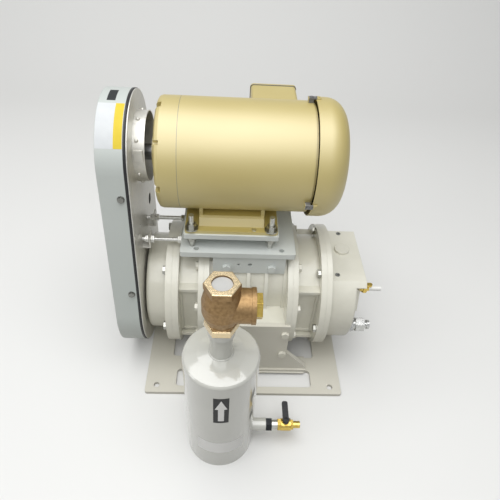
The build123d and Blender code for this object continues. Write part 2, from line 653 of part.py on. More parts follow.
def idle_shaft():
    tail = GEAR_X + GEAR_WIDTH + GEAR_NUT_T + GEAR_SHAFT_TAIL
    start = -(X_OUTER + 12)
    return turned_x([(start, 0), (start, SHAFT_R - 1.5), (start + 1.5, SHAFT_R), (tail - 1.5, SHAFT_R),
                     (tail, SHAFT_R - 1.5), (tail, 0)], 0, UPPER_Z)


def bearing(x0, y, z, bore_r, outer_r, width):
    """Sealed ball bearing: two race faces with a recessed shield between them."""
    step = (outer_r - bore_r) / 4
    outline = [(x0, bore_r), (x0, bore_r + step), (x0 + 1, bore_r + step), (x0 + 1, outer_r - step),
               (x0, outer_r - step), (x0, outer_r), (x0 + width, outer_r), (x0 + width, outer_r - step),
               (x0 + width - 1, outer_r - step), (x0 + width - 1, bore_r + step),
               (x0 + width, bore_r + step), (x0 + width, bore_r)]
    return turned_x(outline, y, z)


def pump_bearings():
    rings = []
    for z in (LOWER_Z, UPPER_Z):
        for x0 in (X_GEAR_OUTER - BEARING_WIDTH - 0.5, -(X_OUTER - 0.5)):
            rings.append(bearing(x0, 0, z, SHAFT_R + RUNNING_FIT, BEARING_R, BEARING_WIDTH))
    return Compound(rings)


def shaft_seals():
    """Lip seals in both end walls and where the drive shaft leaves the drum."""
    places = [(sign * (X_SIDE - SEAL_WIDTH / 2), z) for z in (LOWER_Z, UPPER_Z) for sign in (-1, 1)]
    places.append((-(X_DRUM - SEAL_WIDTH / 2), LOWER_Z))
    rings = []
    for x, z in places:
        x0, x1 = x - SEAL_WIDTH / 2 + 0.5, x + SEAL_WIDTH / 2 - 0.5
        rings.append(disc_x(SEAL_R, x0, x1, 0, z) - disc_x(SHAFT_R + RUNNING_FIT, x0, x1, 0, z))
    return Compound(rings)


# ---- belt drive --------------------------------------------------------------------------
GROOVE_DEPTH = 13.0
GROOVE_BOTTOM = 8.0
HUB_R = 30.0
WEB_T = 10.0
BELT_SIT = 1.0              # how far a belt stands out of its groove
BELT_GAP = 0.35             # belt flank to groove flank
BELT_BOTTOM_WIDTH = 9.0
BELT_STATIONS = (PULLEY_X - BELT_PITCH / 2, PULLEY_X + BELT_PITCH / 2)


def pulley(y, z, rim_r, bore_r):
    """Two-groove V-belt pulley turned from one blank, with a dished web."""
    x0, x1 = PULLEY_X - PULLEY_WIDTH / 2, PULLEY_X + PULLEY_WIDTH / 2
    half_top = BELT_WIDTH / 2 + BELT_GAP
    outline = [(x0, bore_r), (x0, rim_r)]
    for x in BELT_STATIONS:
        outline += [(x - half_top, rim_r), (x - GROOVE_BOTTOM / 2, rim_r - GROOVE_DEPTH),
                    (x + GROOVE_BOTTOM / 2, rim_r - GROOVE_DEPTH), (x + half_top, rim_r)]
    outline += [(x1, rim_r), (x1, bore_r)]
    blank = turned_x(outline, y, z)
    rim_inner = rim_r - GROOVE_DEPTH - 6
    if rim_inner > HUB_R + 6:
        for side in (-1, 1):
            near, far = PULLEY_X + side * WEB_T / 2, PULLEY_X + side * (PULLEY_WIDTH / 2 + 1)
            blank -= disc_x(rim_inner, near, far, y, z) - disc_x(HUB_R, near, far, y, z)
    return blank


def belt_hull(depth):
    """Outline round both pulleys at a depth below the belt's outer face, drawn in (Y, Z)."""
    motor_end = Pos(MOTOR_Y, MOTOR_Z) * Circle(MOTOR_PULLEY_R + BELT_SIT - depth)
    pump_end = Pos(0, LOWER_Z) * Circle(PUMP_PULLEY_R + BELT_SIT - depth)
    return make_hull((motor_end + pump_end).edges())


def v_belts():
    """Two belts: a wide outer band on a narrower inner band."""
    belts = []
    for x in BELT_STATIONS:
        outer = belt_hull(0) - belt_hull(BELT_DEPTH / 2)
        inner = belt_hull(BELT_DEPTH / 2) - belt_hull(BELT_DEPTH)
        half_outer = (BELT_WIDTH + BELT_BOTTOM_WIDTH) / 4 - BELT_GAP / 2
        half_inner = BELT_BOTTOM_WIDTH / 2 - BELT_GAP
        belts.append(along_x(outer, x - half_outer, x + half_outer)
                     + along_x(inner, x - half_inner, x + half_inner))
    return Compound(belts)


# ---- belt guard --------------------------------------------------------------------------
TRIM_T = 2.5
TRIM_WIDTH = 5.0
COLLAR_T = 2.5
GUARD_HOLE_R = 32.0
INSPECTION_HOLE = (90.0, 382.0, 14.0)
PILOT_HOLE = (-44.0, 407.0, 4.0)
TAB_WIDTH = 26.0
TAB_LENGTH = 30.0
TAB_T = 3.0
GUARD_SCREW_D = 8.0
GUARD_SCREW_INSET = 17.0
GUARD_SCREW_AT = (0.14, 0.80)     # along each straight side, from top to bottom
STAY_Z = BRACKET_TOP_Z - BRACKET_T / 2
STAY_NUT_X = X_GUARD_BACK + 22.0
STAY_LUG_T = 4.0


def guard_hull(inset=0.0):
    """Guard outline round the motor axis above and the pump below, drawn in (Y, Z)."""
    top = Pos(MOTOR_Y, MOTOR_Z) * Circle(GUARD_TOP_R - inset)
    bottom = Pos(0, GUARD_BOTTOM_Z) * Circle(GUARD_BOTTOM_R - inset)
    return make_hull((top + bottom).edges())


def guard_side(side, share):
    """Point on a straight side of the guard (0 top, 1 bottom) and its outward normal, as (Y, Z)."""
    run_y, run_z = -MOTOR_Y, GUARD_BOTTOM_Z - MOTOR_Z
    length = hypot(run_y, run_z)
    lean = (GUARD_TOP_R - GUARD_BOTTOM_R) / length
    across = sqrt(1 - lean ** 2)
    uy, uz = run_y / length, run_z / length
    ny, nz = uy * lean + side * -uz * across, uz * lean + side * uy * across
    top = (MOTOR_Y + GUARD_TOP_R * ny, MOTOR_Z + GUARD_TOP_R * nz)
    bottom = (GUARD_BOTTOM_R * ny, GUARD_BOTTOM_Z + GUARD_BOTTOM_R * nz)
    return (top[0] + share * (bottom[0] - top[0]), top[1] + share * (bottom[1] - top[1])), (ny, nz)


def guard_pan():
    """Sheet steel pan: flat front and one band bent round it, open towards the pump."""
    pan = along_x(guard_hull(), X_GUARD_FRONT, X_GUARD_BACK - TRIM_T)
    pan -= along_x(guard_hull(SHEET_T), X_GUARD_FRONT + SHEET_T, X_GUARD_BACK)
    for (y, z), (ny, nz) in guard_screw_places():
        hole = Cylinder(GUARD_SCREW_D / 2 + HOLE_CLEARANCE, 3 * SHEET_T)
        pan -= aimed(hole, (X_GUARD_BACK - GUARD_SCREW_INSET, y, z), (0, ny, nz))
    return pan


def guard_screw_places():
    return [guard_side(side, share) for side in (-1, 1) for share in GUARD_SCREW_AT]


def guard_trim():
    """Rubber edging between the pan and the back plate."""
    return along_x(guard_hull() - guard_hull(TRIM_WIDTH), X_GUARD_BACK - TRIM_T, X_GUARD_BACK)


def guard_back_plate():
    """Galvanised sheet with the shaft holes, the screw tabs and two stay lugs."""
    sheet = guard_hull(1.0)
    sheet -= Pos(MOTOR_Y, MOTOR_Z + COLLAR_RISE) * Circle(COLLAR_R - COLLAR_T)
    sheet -= Pos(0, LOWER_Z) * Circle(GUARD_HOLE_R)
    for y, z, r in (INSPECTION_HOLE, PILOT_HOLE):
        sheet -= Pos(y, z) * Circle(r)
    for y in (-STAY_SPAN / 2, STAY_SPAN / 2):
        sheet -= Pos(y, STAY_Z) * Circle(STAY_D / 2 + HOLE_CLEARANCE)
    plate = along_x(sheet, X_GUARD_BACK, X_GUARD_BACK + SHEET_T)
    for (y, z), (ny, nz) in guard_screw_places():
        depth = SHEET_T + TRIM_WIDTH + TAB_T / 2
        tab = Box(TAB_T, TAB_WIDTH, TAB_LENGTH)
        frame = Plane(origin=(X_GUARD_BACK - TAB_LENGTH / 2, y - depth * ny, z - depth * nz),
                      x_dir=(0, ny, nz), z_dir=(1, 0, 0))
        hole = aimed(Cylinder(GUARD_SCREW_D / 2 + THREAD_FIT, 30),
                     (X_GUARD_BACK - GUARD_SCREW_INSET, y, z), (0, ny, nz))
        plate += frame * tab - hole
    for y in (-STAY_SPAN / 2, STAY_SPAN / 2):
        x0 = X_GUARD_BACK + SHEET_T
        lug = block(x0, STAY_NUT_X, y - 14, y + 14, STAY_Z - 18, STAY_Z + 14)
        lug -= block(x0, STAY_NUT_X - STAY_LUG_T, y - 14, y + 14,
                     STAY_Z - 18 + STAY_LUG_T, STAY_Z + 14)
        plate += lug - disc_x(STAY_D / 2 + HOLE_CLEARANCE, x0, STAY_NUT_X, y, STAY_Z)
    return plate


def guard_screws():
    screws = []
    for (y, z), (ny, nz) in guard_screw_places():
        screw = hex_bolt(GUARD_SCREW_D, SHEET_T + TRIM_WIDTH + TAB_T + 4)
        screw += Cylinder(GUARD_SCREW_D, 1.0).moved(Location((0, 0, 0.5)))
        screws.append(aimed(screw, (X_GUARD_BACK - GUARD_SCREW_INSET, y, z), (0, ny, nz)))
    return Compound(screws)


def guard_collar():
    """Rolled sheet ring round the motor shaft, riveted at its lap joint."""
    z = MOTOR_Z + COLLAR_RISE
    x0 = X_GUARD_BACK + SHEET_T
    ring = disc_x(COLLAR_R, x0, x0 + COLLAR_LENGTH, MOTOR_Y, z)
    ring -= disc_x(COLLAR_R - COLLAR_T, x0, x0 + COLLAR_LENGTH, MOTOR_Y, z)
    lap = block(x0 + 4, x0 + COLLAR_LENGTH - 3,
                MOTOR_Y - COLLAR_R - COLLAR_T, MOTOR_Y - COLLAR_R + COLLAR_T, z + 8, z + 34)
    return ring + lap


def collar_rivets():
    """Dome head rivets along the foot of the collar."""
    z = MOTOR_Z + COLLAR_RISE
    x0 = X_GUARD_BACK + SHEET_T + 9
    dome = Sphere(4.2) & Pos(0, 0, 5) * Box(10, 10, 10)
    rivets = []
    for angle in (105, 142, 200, 232, 290, 335, 20, 62):
        ny, nz = cos(radians(angle)), sin(radians(angle))
        rivets.append(aimed(dome, (x0, MOTOR_Y + COLLAR_R * ny, z + COLLAR_R * nz), (0, ny, nz)))
    return Compound(rivets)


def guard_stays():
    """Threaded rods from the guard's stay lugs into the edge of the motor bracket."""
    inner_end = X_GUARD_BACK - 0.8 * STAY_D - 1
    rods = [disc_x(STAY_D / 2, inner_end, BRACKET_X[0] + 24, y, STAY_Z)
            for y in (-STAY_SPAN / 2, STAY_SPAN / 2)]
    return Compound(rods)


def guard_stay_nuts():
    """Nuts on both faces of the back plate and of each lug, and at the bracket."""
    nuts = []
    tall = 0.8 * STAY_D
    for y in (-STAY_SPAN / 2, STAY_SPAN / 2):
        for x in (STAY_NUT_X, X_GUARD_BACK - tall, BRACKET_X[0] - tall, STAY_NUT_X - STAY_LUG_T - tall):
            nuts.append(aimed(nut(STAY_D), (x, y, STAY_Z), (1, 0, 0)))
    return Compound(nuts)


# ---- motor bracket -----------------------------------------------------------------------
BRACKET_HOLE_R = 6.0
BRACKET_HOLES_X = (-123.0, 73.0)
GUSSET_X = (-76.0, 76.0)
GUSSET_T = 10.0
STUD_TOP = 458.0
NUT_T = 12.0
WASHER_T = 3.0
WASHER_R = 15.0


def stud_places():
    return [(MOTOR_FEET_X + sx * FOOT_HOLES_X / 2, MOTOR_Y + sy * FOOT_HOLES_Y / 2)
            for sx in (-1, 1) for sy in (-1, 1)]


def motor_bracket():
    """Welded saddle: thick top plate, front and back webs bolted to the casing, rear gussets."""
    z0 = BRACKET_TOP_Z - BRACKET_T
    outline = Pos(sum(BRACKET_X) / 2, sum(BRACKET_Y) / 2) * RectangleRounded(
        BRACKET_X[1] - BRACKET_X[0], BRACKET_Y[1] - BRACKET_Y[0], 5)
    for x, y in stud_places():
        outline -= Pos(x, y) * Circle(STUD_D / 2 + THREAD_FIT)
    for x in BRACKET_HOLES_X:
        for y in (BRACKET_Y[0] + 14, BRACKET_Y[1] - 14):
            outline -= Pos(x, y) * Circle(BRACKET_HOLE_R)
    bracket = along_z(outline, z0, BRACKET_TOP_Z)
    for side in (-1, 1):
        ys = sorted((side * BRACKET_WEB_Y, side * (BRACKET_WEB_Y - BRACKET_WEB_T)))
        web = block(-BRACKET_WEB_HALF, BRACKET_WEB_HALF, *ys, BRACKET_WEB_BOTTOM, z0)
        for x in (-WEB_BOLT_X, WEB_BOLT_X):
            web -= disc_y(FLANGE_BOLT_D / 2 + HOLE_CLEARANCE, *ys, x, WEB_BOLT_Z)
        for x, r in ((-25, 3), (2, 5)):
            web -= disc_y(r, *ys, x, WEB_BOLT_Z + 9)
        bracket += web
    for x in GUSSET_X:
        gusset = make_face(Polyline((BRACKET_WEB_Y, z0), (BRACKET_Y[1] - 18, z0),
                                    (BRACKET_WEB_Y, BRACKET_WEB_BOTTOM + 8), close=True))
        bracket += along_x(gusset, x - GUSSET_T / 2, x + GUSSET_T / 2)
    for y in (-STAY_SPAN / 2, STAY_SPAN / 2):
        bracket -= disc_x(STAY_D / 2 + THREAD_FIT, BRACKET_X[0], BRACKET_X[0] + 26, y, STAY_Z)
    return bracket


def bracket_bolts():
    bolts = []
    for side in (-1, 1):
        for x in (-WEB_BOLT_X, WEB_BOLT_X):
            bolt = hex_bolt(FLANGE_BOLT_D, BRACKET_WEB_T + 20)
            bolts.append(aimed(bolt, (x, side * BRACKET_WEB_Y, WEB_BOLT_Z), (0, side, 0)))
    return Compound(bolts)


def motor_studs():
    z0 = BRACKET_TOP_Z - BRACKET_T
    return Compound([disc_z(STUD_D / 2, z0, STUD_TOP, x, y) for x, y in stud_places()])


def motor_plate():
    outline = Pos(MOTOR_FEET_X, MOTOR_Y) * RectangleRounded(
        2 * MOTOR_PLATE_HALF[0], 2 * MOTOR_PLATE_HALF[1], 4)
    for x, y in stud_places():
        outline -= Pos(x, y) * Circle(STUD_D / 2 + HOLE_CLEARANCE)
    return along_z(outline, MOTOR_PLATE_BOTTOM, MOTOR_FOOT_Z)


def motor_nuts():
    """Upper and lower nuts with their washers, which set the height of the motor."""
    pieces = []
    foot_top = MOTOR_FOOT_Z + FOOT_T
    for x, y in stud_places():
        pieces.append(Pos(x, y, foot_top) * washer(STUD_D, WASHER_R, WASHER_T))
        pieces.append(Pos(x, y, foot_top + WASHER_T) * nut(STUD_D, NUT_T))
        pieces.append(Pos(x, y, MOTOR_PLATE_BOTTOM - WASHER_T) * washer(STUD_D, WASHER_R, WASHER_T))
        pieces.append(Pos(x, y, MOTOR_PLATE_BOTTOM - WASHER_T - NUT_T) * nut(STUD_D, NUT_T))
    return Compound(pieces)


# ---- motor -------------------------------------------------------------------------------
FOOT_T = 8.0
FOOT_HALF = (104.0, 117.0)
SADDLE_HALF = 73.0
END_BELL_HUB_R = 38.0
BELL_BOLT_D = 8.0
BELL_BOLT_CIRCLE_R = 104.0
BELL_BOLT_ANGLES = (7, 97, 187, 277)
BELL_POCKET_R = 8.5
BELL_POCKET_DEPTH = 11.0
BELL_NOTCH_ANGLE = 140.0    # lifting notch in the rim of the drive end bell
FAN_COVER_GAP = 4.5
FAN_COVER_R = 130.0
FAN_COVER_CORNER_R = 45.0
FAN_COVER_T = 2.5
GRILLE_SLOTS = 16
CONDUIT_X = (-7.0, 101.0)
CONDUIT_DEPTH = 60.0
CONDUIT_Z = (-45.0, 82.0)
CONDUIT_WALL = 4.0
CONDUIT_ENTRY_R = 14.0
CONDUIT_ENTRY_INSET = 26.0  # cable entry, measured in from the lid face
GASKET_T = 2.0
LID_T = 5.0
ROTOR_CORE_R = 66.0
STATOR_GAP = 1.0
CORE_X = (-120.0, 60.0)
MOTOR_BEARING_R = 40.0
MOTOR_BEARING_WIDTH = 18.0


def motor_foot():
    """Pressed steel foot: flat feet with a raised saddle between the bolt holes."""
    outline = Pos(MOTOR_FEET_X, MOTOR_Y) * RectangleRounded(2 * FOOT_HALF[0], 2 * FOOT_HALF[1], 5)
    for x, y in stud_places():
        outline -= Pos(x, y) * Circle(STUD_D / 2 + HOLE_CLEARANCE)
    spare_x = MOTOR_FEET_X - FOOT_HOLES_X / 2 + FOOT_HOLES_SHORT_X
    for sy in (-1, 1):
        outline -= Pos(spare_x, MOTOR_Y + sy * FOOT_HOLES_Y / 2) * Circle(STUD_D / 2)
    foot = along_z(outline, MOTOR_FOOT_Z, MOTOR_FOOT_Z + FOOT_T)
    base, shelf = MOTOR_FOOT_Z + FOOT_T, MOTOR_FOOT_Z + 27
    for sy in (-1, 1):
        saddle = make_face(Polyline((MOTOR_Y + sy * 100, base), (MOTOR_Y + sy * 90, shelf - 3),
                                    (MOTOR_Y + sy * 84, shelf), (MOTOR_Y + sy * 40, shelf),
                                    (MOTOR_Y + sy * 40, base), close=True))
        foot += along_x(saddle, MOTOR_FEET_X - SADDLE_HALF, MOTOR_FEET_X + SADDLE_HALF)
        web = make_face(Polyline((MOTOR_Y + sy * 84, shelf), (MOTOR_Y + sy * 40, shelf),
                                 (MOTOR_Y + sy * 40, MOTOR_Z - 0.78 * MOTOR_R),
                                 (MOTOR_Y + sy * 84, MOTOR_Z - 0.57 * MOTOR_R), close=True))
        for x in (MOTOR_FEET_X - SADDLE_HALF, MOTOR_FEET_X + SADDLE_HALF - 8):
            foot += along_x(web, x, x + 8)
    return foot - disc_x(MOTOR_R + SEAT_FIT, MOTOR_DRIVE_END_X, MOTOR_FAN_END_X, MOTOR_Y, MOTOR_Z)


def motor_frame():
    """Rolled steel band of the motor with the pad of the conduit box."""
    frame = disc_x(MOTOR_R, MOTOR_SEAM_X, MOTOR_FAN_GAP_X, MOTOR_Y, MOTOR_Z)
    return frame - disc_x(MOTOR_R - MOTOR_SHELL_T, MOTOR_SEAM_X, MOTOR_FAN_GAP_X, MOTOR_Y, MOTOR_Z)


def drive_end_bell():
    x0, x1 = MOTOR_DRIVE_END_X, MOTOR_SEAM_X
    skin = 9.0
    bore_r, seat_r = MOTOR_SHAFT_R + SHAFT_WALL_GAP, MOTOR_BEARING_R + SEAT_FIT
    outline = [(x1, MOTOR_R), (x0 + 9, MOTOR_R), (x0 + 3, MOTOR_R - 2), (x0, MOTOR_R - 7),
               (x0, END_BELL_HUB_R + 8), (x0 - 8, END_BELL_HUB_R), (MOTOR_SHAFT_SHOULDER + 3, END_BELL_HUB_R),
               (MOTOR_SHAFT_SHOULDER + 3, bore_r), (x0 - 6, bore_r), (x0 - 6, seat_r),
               (x0 + skin + 6, seat_r), (x0 + skin + 6, MOTOR_BEARING_R + 8), (x0 + skin, MOTOR_BEARING_R + 14),
               (x0 + skin, MOTOR_R - 32), (x0 + 20, MOTOR_R - 30), (x0 + 20, MOTOR_R - skin), (x1, MOTOR_R - skin)]
    bell = turned_x(outline, MOTOR_Y, MOTOR_Z)
    for angle in BELL_BOLT_ANGLES:
        bell -= rim_pocket(angle, BELL_POCKET_R, BELL_BOLT_CIRCLE_R)
    bell -= rim_pocket(BELL_NOTCH_ANGLE, BELL_POCKET_R / 2, MOTOR_R - 6)
    for y, z in bell_bolt_places():
        bell -= disc_x(BELL_BOLT_D / 2 + HOLE_CLEARANCE, x0, x1, y, z)
    return bell


def rim_pocket(angle, radius, depth_r):
    """Round-bottomed pocket cut in from the rim of the drive end bell, to stand a screw in."""
    reach = MOTOR_R - depth_r + radius
    cut = Cylinder(radius, BELL_POCKET_DEPTH) + Pos(reach / 2, 0, 0) * Box(reach, 2 * radius, BELL_POCKET_DEPTH)
    ny, nz = cos(radians(angle)), sin(radians(angle))
    frame = Plane(origin=(MOTOR_DRIVE_END_X + BELL_POCKET_DEPTH / 2, MOTOR_Y + depth_r * ny, MOTOR_Z + depth_r * nz),
                  x_dir=(0, ny, nz), z_dir=(1, 0, 0))
    return frame * cut


def bell_bolt_places():
    return [(MOTOR_Y + BELL_BOLT_CIRCLE_R * cos(radians(a)), MOTOR_Z + BELL_BOLT_CIRCLE_R * sin(radians(a)))
            for a in BELL_BOLT_ANGLES]


def bell_bolts():
    seat = MOTOR_DRIVE_END_X + BELL_POCKET_DEPTH
    return Compound([aimed(hex_bolt(BELL_BOLT_D, 18), (seat, y, z), (-1, 0, 0)) for y, z in bell_bolt_places()])


def fan_end_bell():
    """Inner end shield behind the fan, spigoted into the frame."""
    x1 = MOTOR_FAN_GAP_X
    outline = [(x1 + FAN_COVER_GAP, MOTOR_SHAFT_R + SHAFT_WALL_GAP),
               (x1 - 6, MOTOR_SHAFT_R + SHAFT_WALL_GAP), (x1 - 6, MOTOR_BEARING_R + SEAT_FIT),
               (x1 - 26, MOTOR_BEARING_R + SEAT_FIT), (x1 - 26, MOTOR_BEARING_R + 7),
               (x1 - 8, MOTOR_BEARING_R + 7), (x1 - 8, MOTOR_R - MOTOR_SHELL_T - SEAT_FIT),
               (x1 + FAN_COVER_GAP, MOTOR_R - MOTOR_SHELL_T - SEAT_FIT)]
    return turned_x(outline, MOTOR_Y, MOTOR_Z)


def fan_cover():
    """Spun cover with a rounded end and radial slots."""
    x0, x1 = MOTOR_FAN_GAP_X + FAN_COVER_GAP, MOTOR_FAN_END_X
    cover = disc_x(FAN_COVER_R, x0, x1, MOTOR_Y, MOTOR_Z)
    cover = fillet(cover.edges().sort_by(Axis.X)[-1], FAN_COVER_CORNER_R)
    cavity = disc_x(FAN_COVER_R - FAN_COVER_T, x0, x1 - FAN_COVER_T, MOTOR_Y, MOTOR_Z)
    cavity = fillet(cavity.edges().sort_by(Axis.X)[-1], FAN_COVER_CORNER_R - FAN_COVER_T)
    cover -= cavity
    slot = Pos(56, 0) * Rectangle(46, 7)
    for i in range(GRILLE_SLOTS):
        turned = Pos(MOTOR_Y, MOTOR_Z) * (Rot(0, 0, i * 360 / GRILLE_SLOTS) * slot)
        cover -= along_x(turned, x1 - FAN_COVER_T - 1, x1 + 1)
    return cover


FAN_LUG_ANGLES = (80, 200, 320)
FAN_LUG = 14.0


def fan_cover_lugs():
    """Black clips and screws that hold the fan cover across the air gap."""
    x0, x1 = MOTOR_FAN_GAP_X - 12, MOTOR_FAN_GAP_X + FAN_COVER_GAP + 10
    clip = Pos(0, 0, 1.5) * Box(x1 - x0, FAN_LUG, 3)
    step = FAN_COVER_R - MOTOR_R
    clip += Pos(-(x1 - x0) / 2 + 6, 0, -step / 2) * Box(12, FAN_LUG / 2, step)
    screw = Pos(0, 0, 3) * Cylinder(4, 3)
    clips = []
    for angle in FAN_LUG_ANGLES:
        ny, nz = cos(radians(angle)), sin(radians(angle))
        reach = FAN_COVER_R + 0.05
        frame = Plane(origin=((x0 + x1) / 2, MOTOR_Y + reach * ny, MOTOR_Z + reach * nz),
                      x_dir=(1, 0, 0), z_dir=(0, ny, nz))
        clips.append(frame * (clip + Pos((x1 - x0) / 2 - 7, 0, 0) * screw + Pos(-(x1 - x0) / 2 + 7, 0, 0) * screw))
    return Compound(clips)


def conduit_slab(y0, y1, grow, corner_r):
    """Rounded block with the outline of the terminal box, grown or shrunk all round."""
    slab = block(CONDUIT_X[0] - grow, CONDUIT_X[1] + grow, y0, y1,
                 MOTOR_Z + CONDUIT_Z[0] - grow, MOTOR_Z + CONDUIT_Z[1] + grow)
    return fillet(slab.edges().filter_by(Axis.Y), corner_r)


def conduit_box():
    """Terminal box saddled on the back of the frame, open on its far side."""
    mouth = MOTOR_Y + MOTOR_R + CONDUIT_DEPTH
    box = conduit_slab(MOTOR_Y + 0.65 * MOTOR_R, mouth, 0, 8)
    box -= conduit_slab(MOTOR_Y + MOTOR_R + 6, mouth, -CONDUIT_WALL, 4)
    box -= disc_x(CONDUIT_ENTRY_R, CONDUIT_X[1] - CONDUIT_WALL, CONDUIT_X[1], mouth - CONDUIT_ENTRY_INSET, MOTOR_Z)
    return box - disc_x(MOTOR_R + 2 * SEAT_FIT, *CONDUIT_X, MOTOR_Y, MOTOR_Z)


def conduit_gasket():
    mouth = MOTOR_Y + MOTOR_R + CONDUIT_DEPTH
    return conduit_slab(mouth, mouth + GASKET_T, 0.6, 8) - conduit_slab(mouth, mouth + GASKET_T, -10, 4)


def conduit_lid():
    inner = MOTOR_Y + MOTOR_R + CONDUIT_DEPTH + GASKET_T
    return conduit_slab(inner, inner + LID_T, 1.5, 9)


def stator_core():
    """Laminated ring pressed into the frame, with both winding heads."""
    core = disc_x(MOTOR_R - MOTOR_SHELL_T - SEAT_FIT, *CORE_X, MOTOR_Y, MOTOR_Z)
    for x0, x1 in ((CORE_X[0] - 24, CORE_X[0]), (CORE_X[1], CORE_X[1] + 24)):
        core += disc_x(MOTOR_R - 16, x0, x1, MOTOR_Y, MOTOR_Z)
    return core - disc_x(ROTOR_CORE_R + STATOR_GAP, CORE_X[0] - 24, CORE_X[1] + 24, MOTOR_Y, MOTOR_Z)


def motor_rotor_core():
    core = disc_x(ROTOR_CORE_R, *CORE_X, MOTOR_Y, MOTOR_Z)
    return core - disc_x(MOTOR_SHAFT_R + 3 + SEAT_FIT, *CORE_X, MOTOR_Y, MOTOR_Z)


def motor_shaft():
    """Stepped shaft from the pulley end to the fan."""
    seat_r, core_r = MOTOR_SHAFT_R, MOTOR_SHAFT_R + 3
    fan_r = FAN_BORE_R - SEAT_FIT
    x_fan = MOTOR_FAN_GAP_X + FAN_COVER_GAP + 2
    outline = [(MOTOR_SHAFT_END, 0), (MOTOR_SHAFT_END, seat_r - 1.5), (MOTOR_SHAFT_END + 1.5, seat_r),
               (MOTOR_DRIVE_END_X + 16, seat_r), (MOTOR_DRIVE_END_X + 16, core_r),
               (MOTOR_FAN_GAP_X - 27, core_r), (MOTOR_FAN_GAP_X - 27, seat_r), (x_fan, seat_r),
               (x_fan, fan_r), (x_fan + 26, fan_r), (x_fan + 26, 0)]
    return turned_x(outline, MOTOR_Y, MOTOR_Z)


def motor_bearings():
    bore_r = MOTOR_SHAFT_R + RUNNING_FIT
    stations = (MOTOR_DRIVE_END_X - 4, MOTOR_FAN_GAP_X - 25)
    return Compound([bearing(x0, MOTOR_Y, MOTOR_Z, bore_r, MOTOR_BEARING_R, MOTOR_BEARING_WIDTH)
                     for x0 in stations])


FAN_BORE_R = 14.0
FAN_HUB_R = 26.0
FAN_R = 100.0
FAN_BLADES = 8


def cooling_fan():
    """Moulded fan: hub, back disc and straight radial blades."""
    x0 = MOTOR_FAN_GAP_X + FAN_COVER_GAP + 3
    fan = disc_x(FAN_HUB_R, x0, x0 + 22, MOTOR_Y, MOTOR_Z) + disc_x(FAN_R - 6, x0, x0 + 3, MOTOR_Y, MOTOR_Z)
    blade = Pos((FAN_R + FAN_HUB_R) / 2 - 1, 0) * Rectangle(FAN_R - FAN_HUB_R + 2, 3)
    for i in range(FAN_BLADES):
        turned = Pos(MOTOR_Y, MOTOR_Z) * (Rot(0, 0, i * 360 / FAN_BLADES) * blade)
        fan += along_x(turned, x0, x0 + 26)
    return fan - disc_x(FAN_BORE_R, x0, x0 + 26, MOTOR_Y, MOTOR_Z)


# ---- silencer ----------------------------------------------------------------------------
TANK_RIM_R = 9.0
TANK_CROWN = 7.0
BOTTOM_T = 6.0
NECK_RING_R = 26.0
NECK_RING_T = 18.0


def tank_shell():
    tube = disc_z(TANK_R, 0, TANK_HEIGHT - TANK_RIM_R, SILENCER_X, SILENCER_Y)
    tube -= disc_z(TANK_R - TANK_WALL, 0, TANK_HEIGHT - TANK_RIM_R, SILENCER_X, SILENCER_Y)
    return tube - disc_x(SOCKET_R - 3, SILENCER_X, SILENCER_X + TANK_R, SILENCER_Y, DRAIN_Z)


def tank_bottom():
    return disc_z(TANK_R - TANK_WALL - SEAT_FIT, 3, 3 + BOTTOM_T, SILENCER_X, SILENCER_Y)


def turned_z(profile, x=SILENCER_X, y=SILENCER_Y):
    """Revolve a (radius, Z) outline about the upright line through (x, y)."""
    face = make_face(Polyline(*profile, close=True))
    return Pos(x, y, 0) * revolve(Plane.XZ * face, Axis.Z)


def tank_head():
    """Dished head with a rolled corner, welded to the shell; the neck pipe stands in it."""
    z0 = TANK_HEIGHT - TANK_RIM_R
    bore = NECK_PIPE_R + SEAT_FIT
    outline = [(TANK_R, z0), (TANK_R, z0 + 2), (TANK_R - 1.2, z0 + 5), (TANK_R - 3.6, z0 + 7.6),
               (TANK_R - 8, TANK_HEIGHT), (TANK_R * 0.62, TANK_HEIGHT + TANK_CROWN * 0.62),
               (bore, TANK_HEIGHT + TANK_CROWN),
               (bore, TANK_HEIGHT + TANK_CROWN - TANK_WALL), (TANK_R - 8, TANK_HEIGHT - TANK_WALL),
               (TANK_R - TANK_WALL, z0 + 2), (TANK_R - TANK_WALL, z0)]
    return turned_z(outline)


def neck_pipe():
    z0 = TANK_HEIGHT - 20
    pipe = disc_z(NECK_PIPE_R, z0, NECK_TOP_Z, SILENCER_X, SILENCER_Y)
    pipe += disc_z(NECK_RING_R, NECK_TOP_Z - NECK_RING_T, NECK_TOP_Z, SILENCER_X, SILENCER_Y)
    pipe += disc_z(THREAD_R - THREAD_FIT, NECK_TOP_Z, NECK_TOP_Z + 16, SILENCER_X, SILENCER_Y)
    return pipe - disc_z(NECK_PIPE_BORE, z0, NECK_TOP_Z + 16, SILENCER_X, SILENCER_Y)


# ---- check valve -------------------------------------------------------------------------
THREAD_R = 20.5
OUTLET_R = 18.5
VALVE_HEX = 56.0
VALVE_HEX_T = 15.0
VALVE_MID_Z = 478.0
BRANCH_R = 31.5
BRANCH_END = 59.0
BRANCH_LIP = (33.0, 8.0)    # radius and length of the rim at the mouth of the branch
BRANCH_BORE = 20.0
SEAT_Z = 463.0
CAVITY_R = 27.0
CAVITY_TOP_Z = VALVE_TOP_Z - 24.0
SEAT_BORE = 17.0
FLAP_R = 20.5
FLAP_T = 4.0
FLAP_GAP = 0.15
PIN_R = 2.5
PIN_X = 25.0
PIN_RISE = 7.0


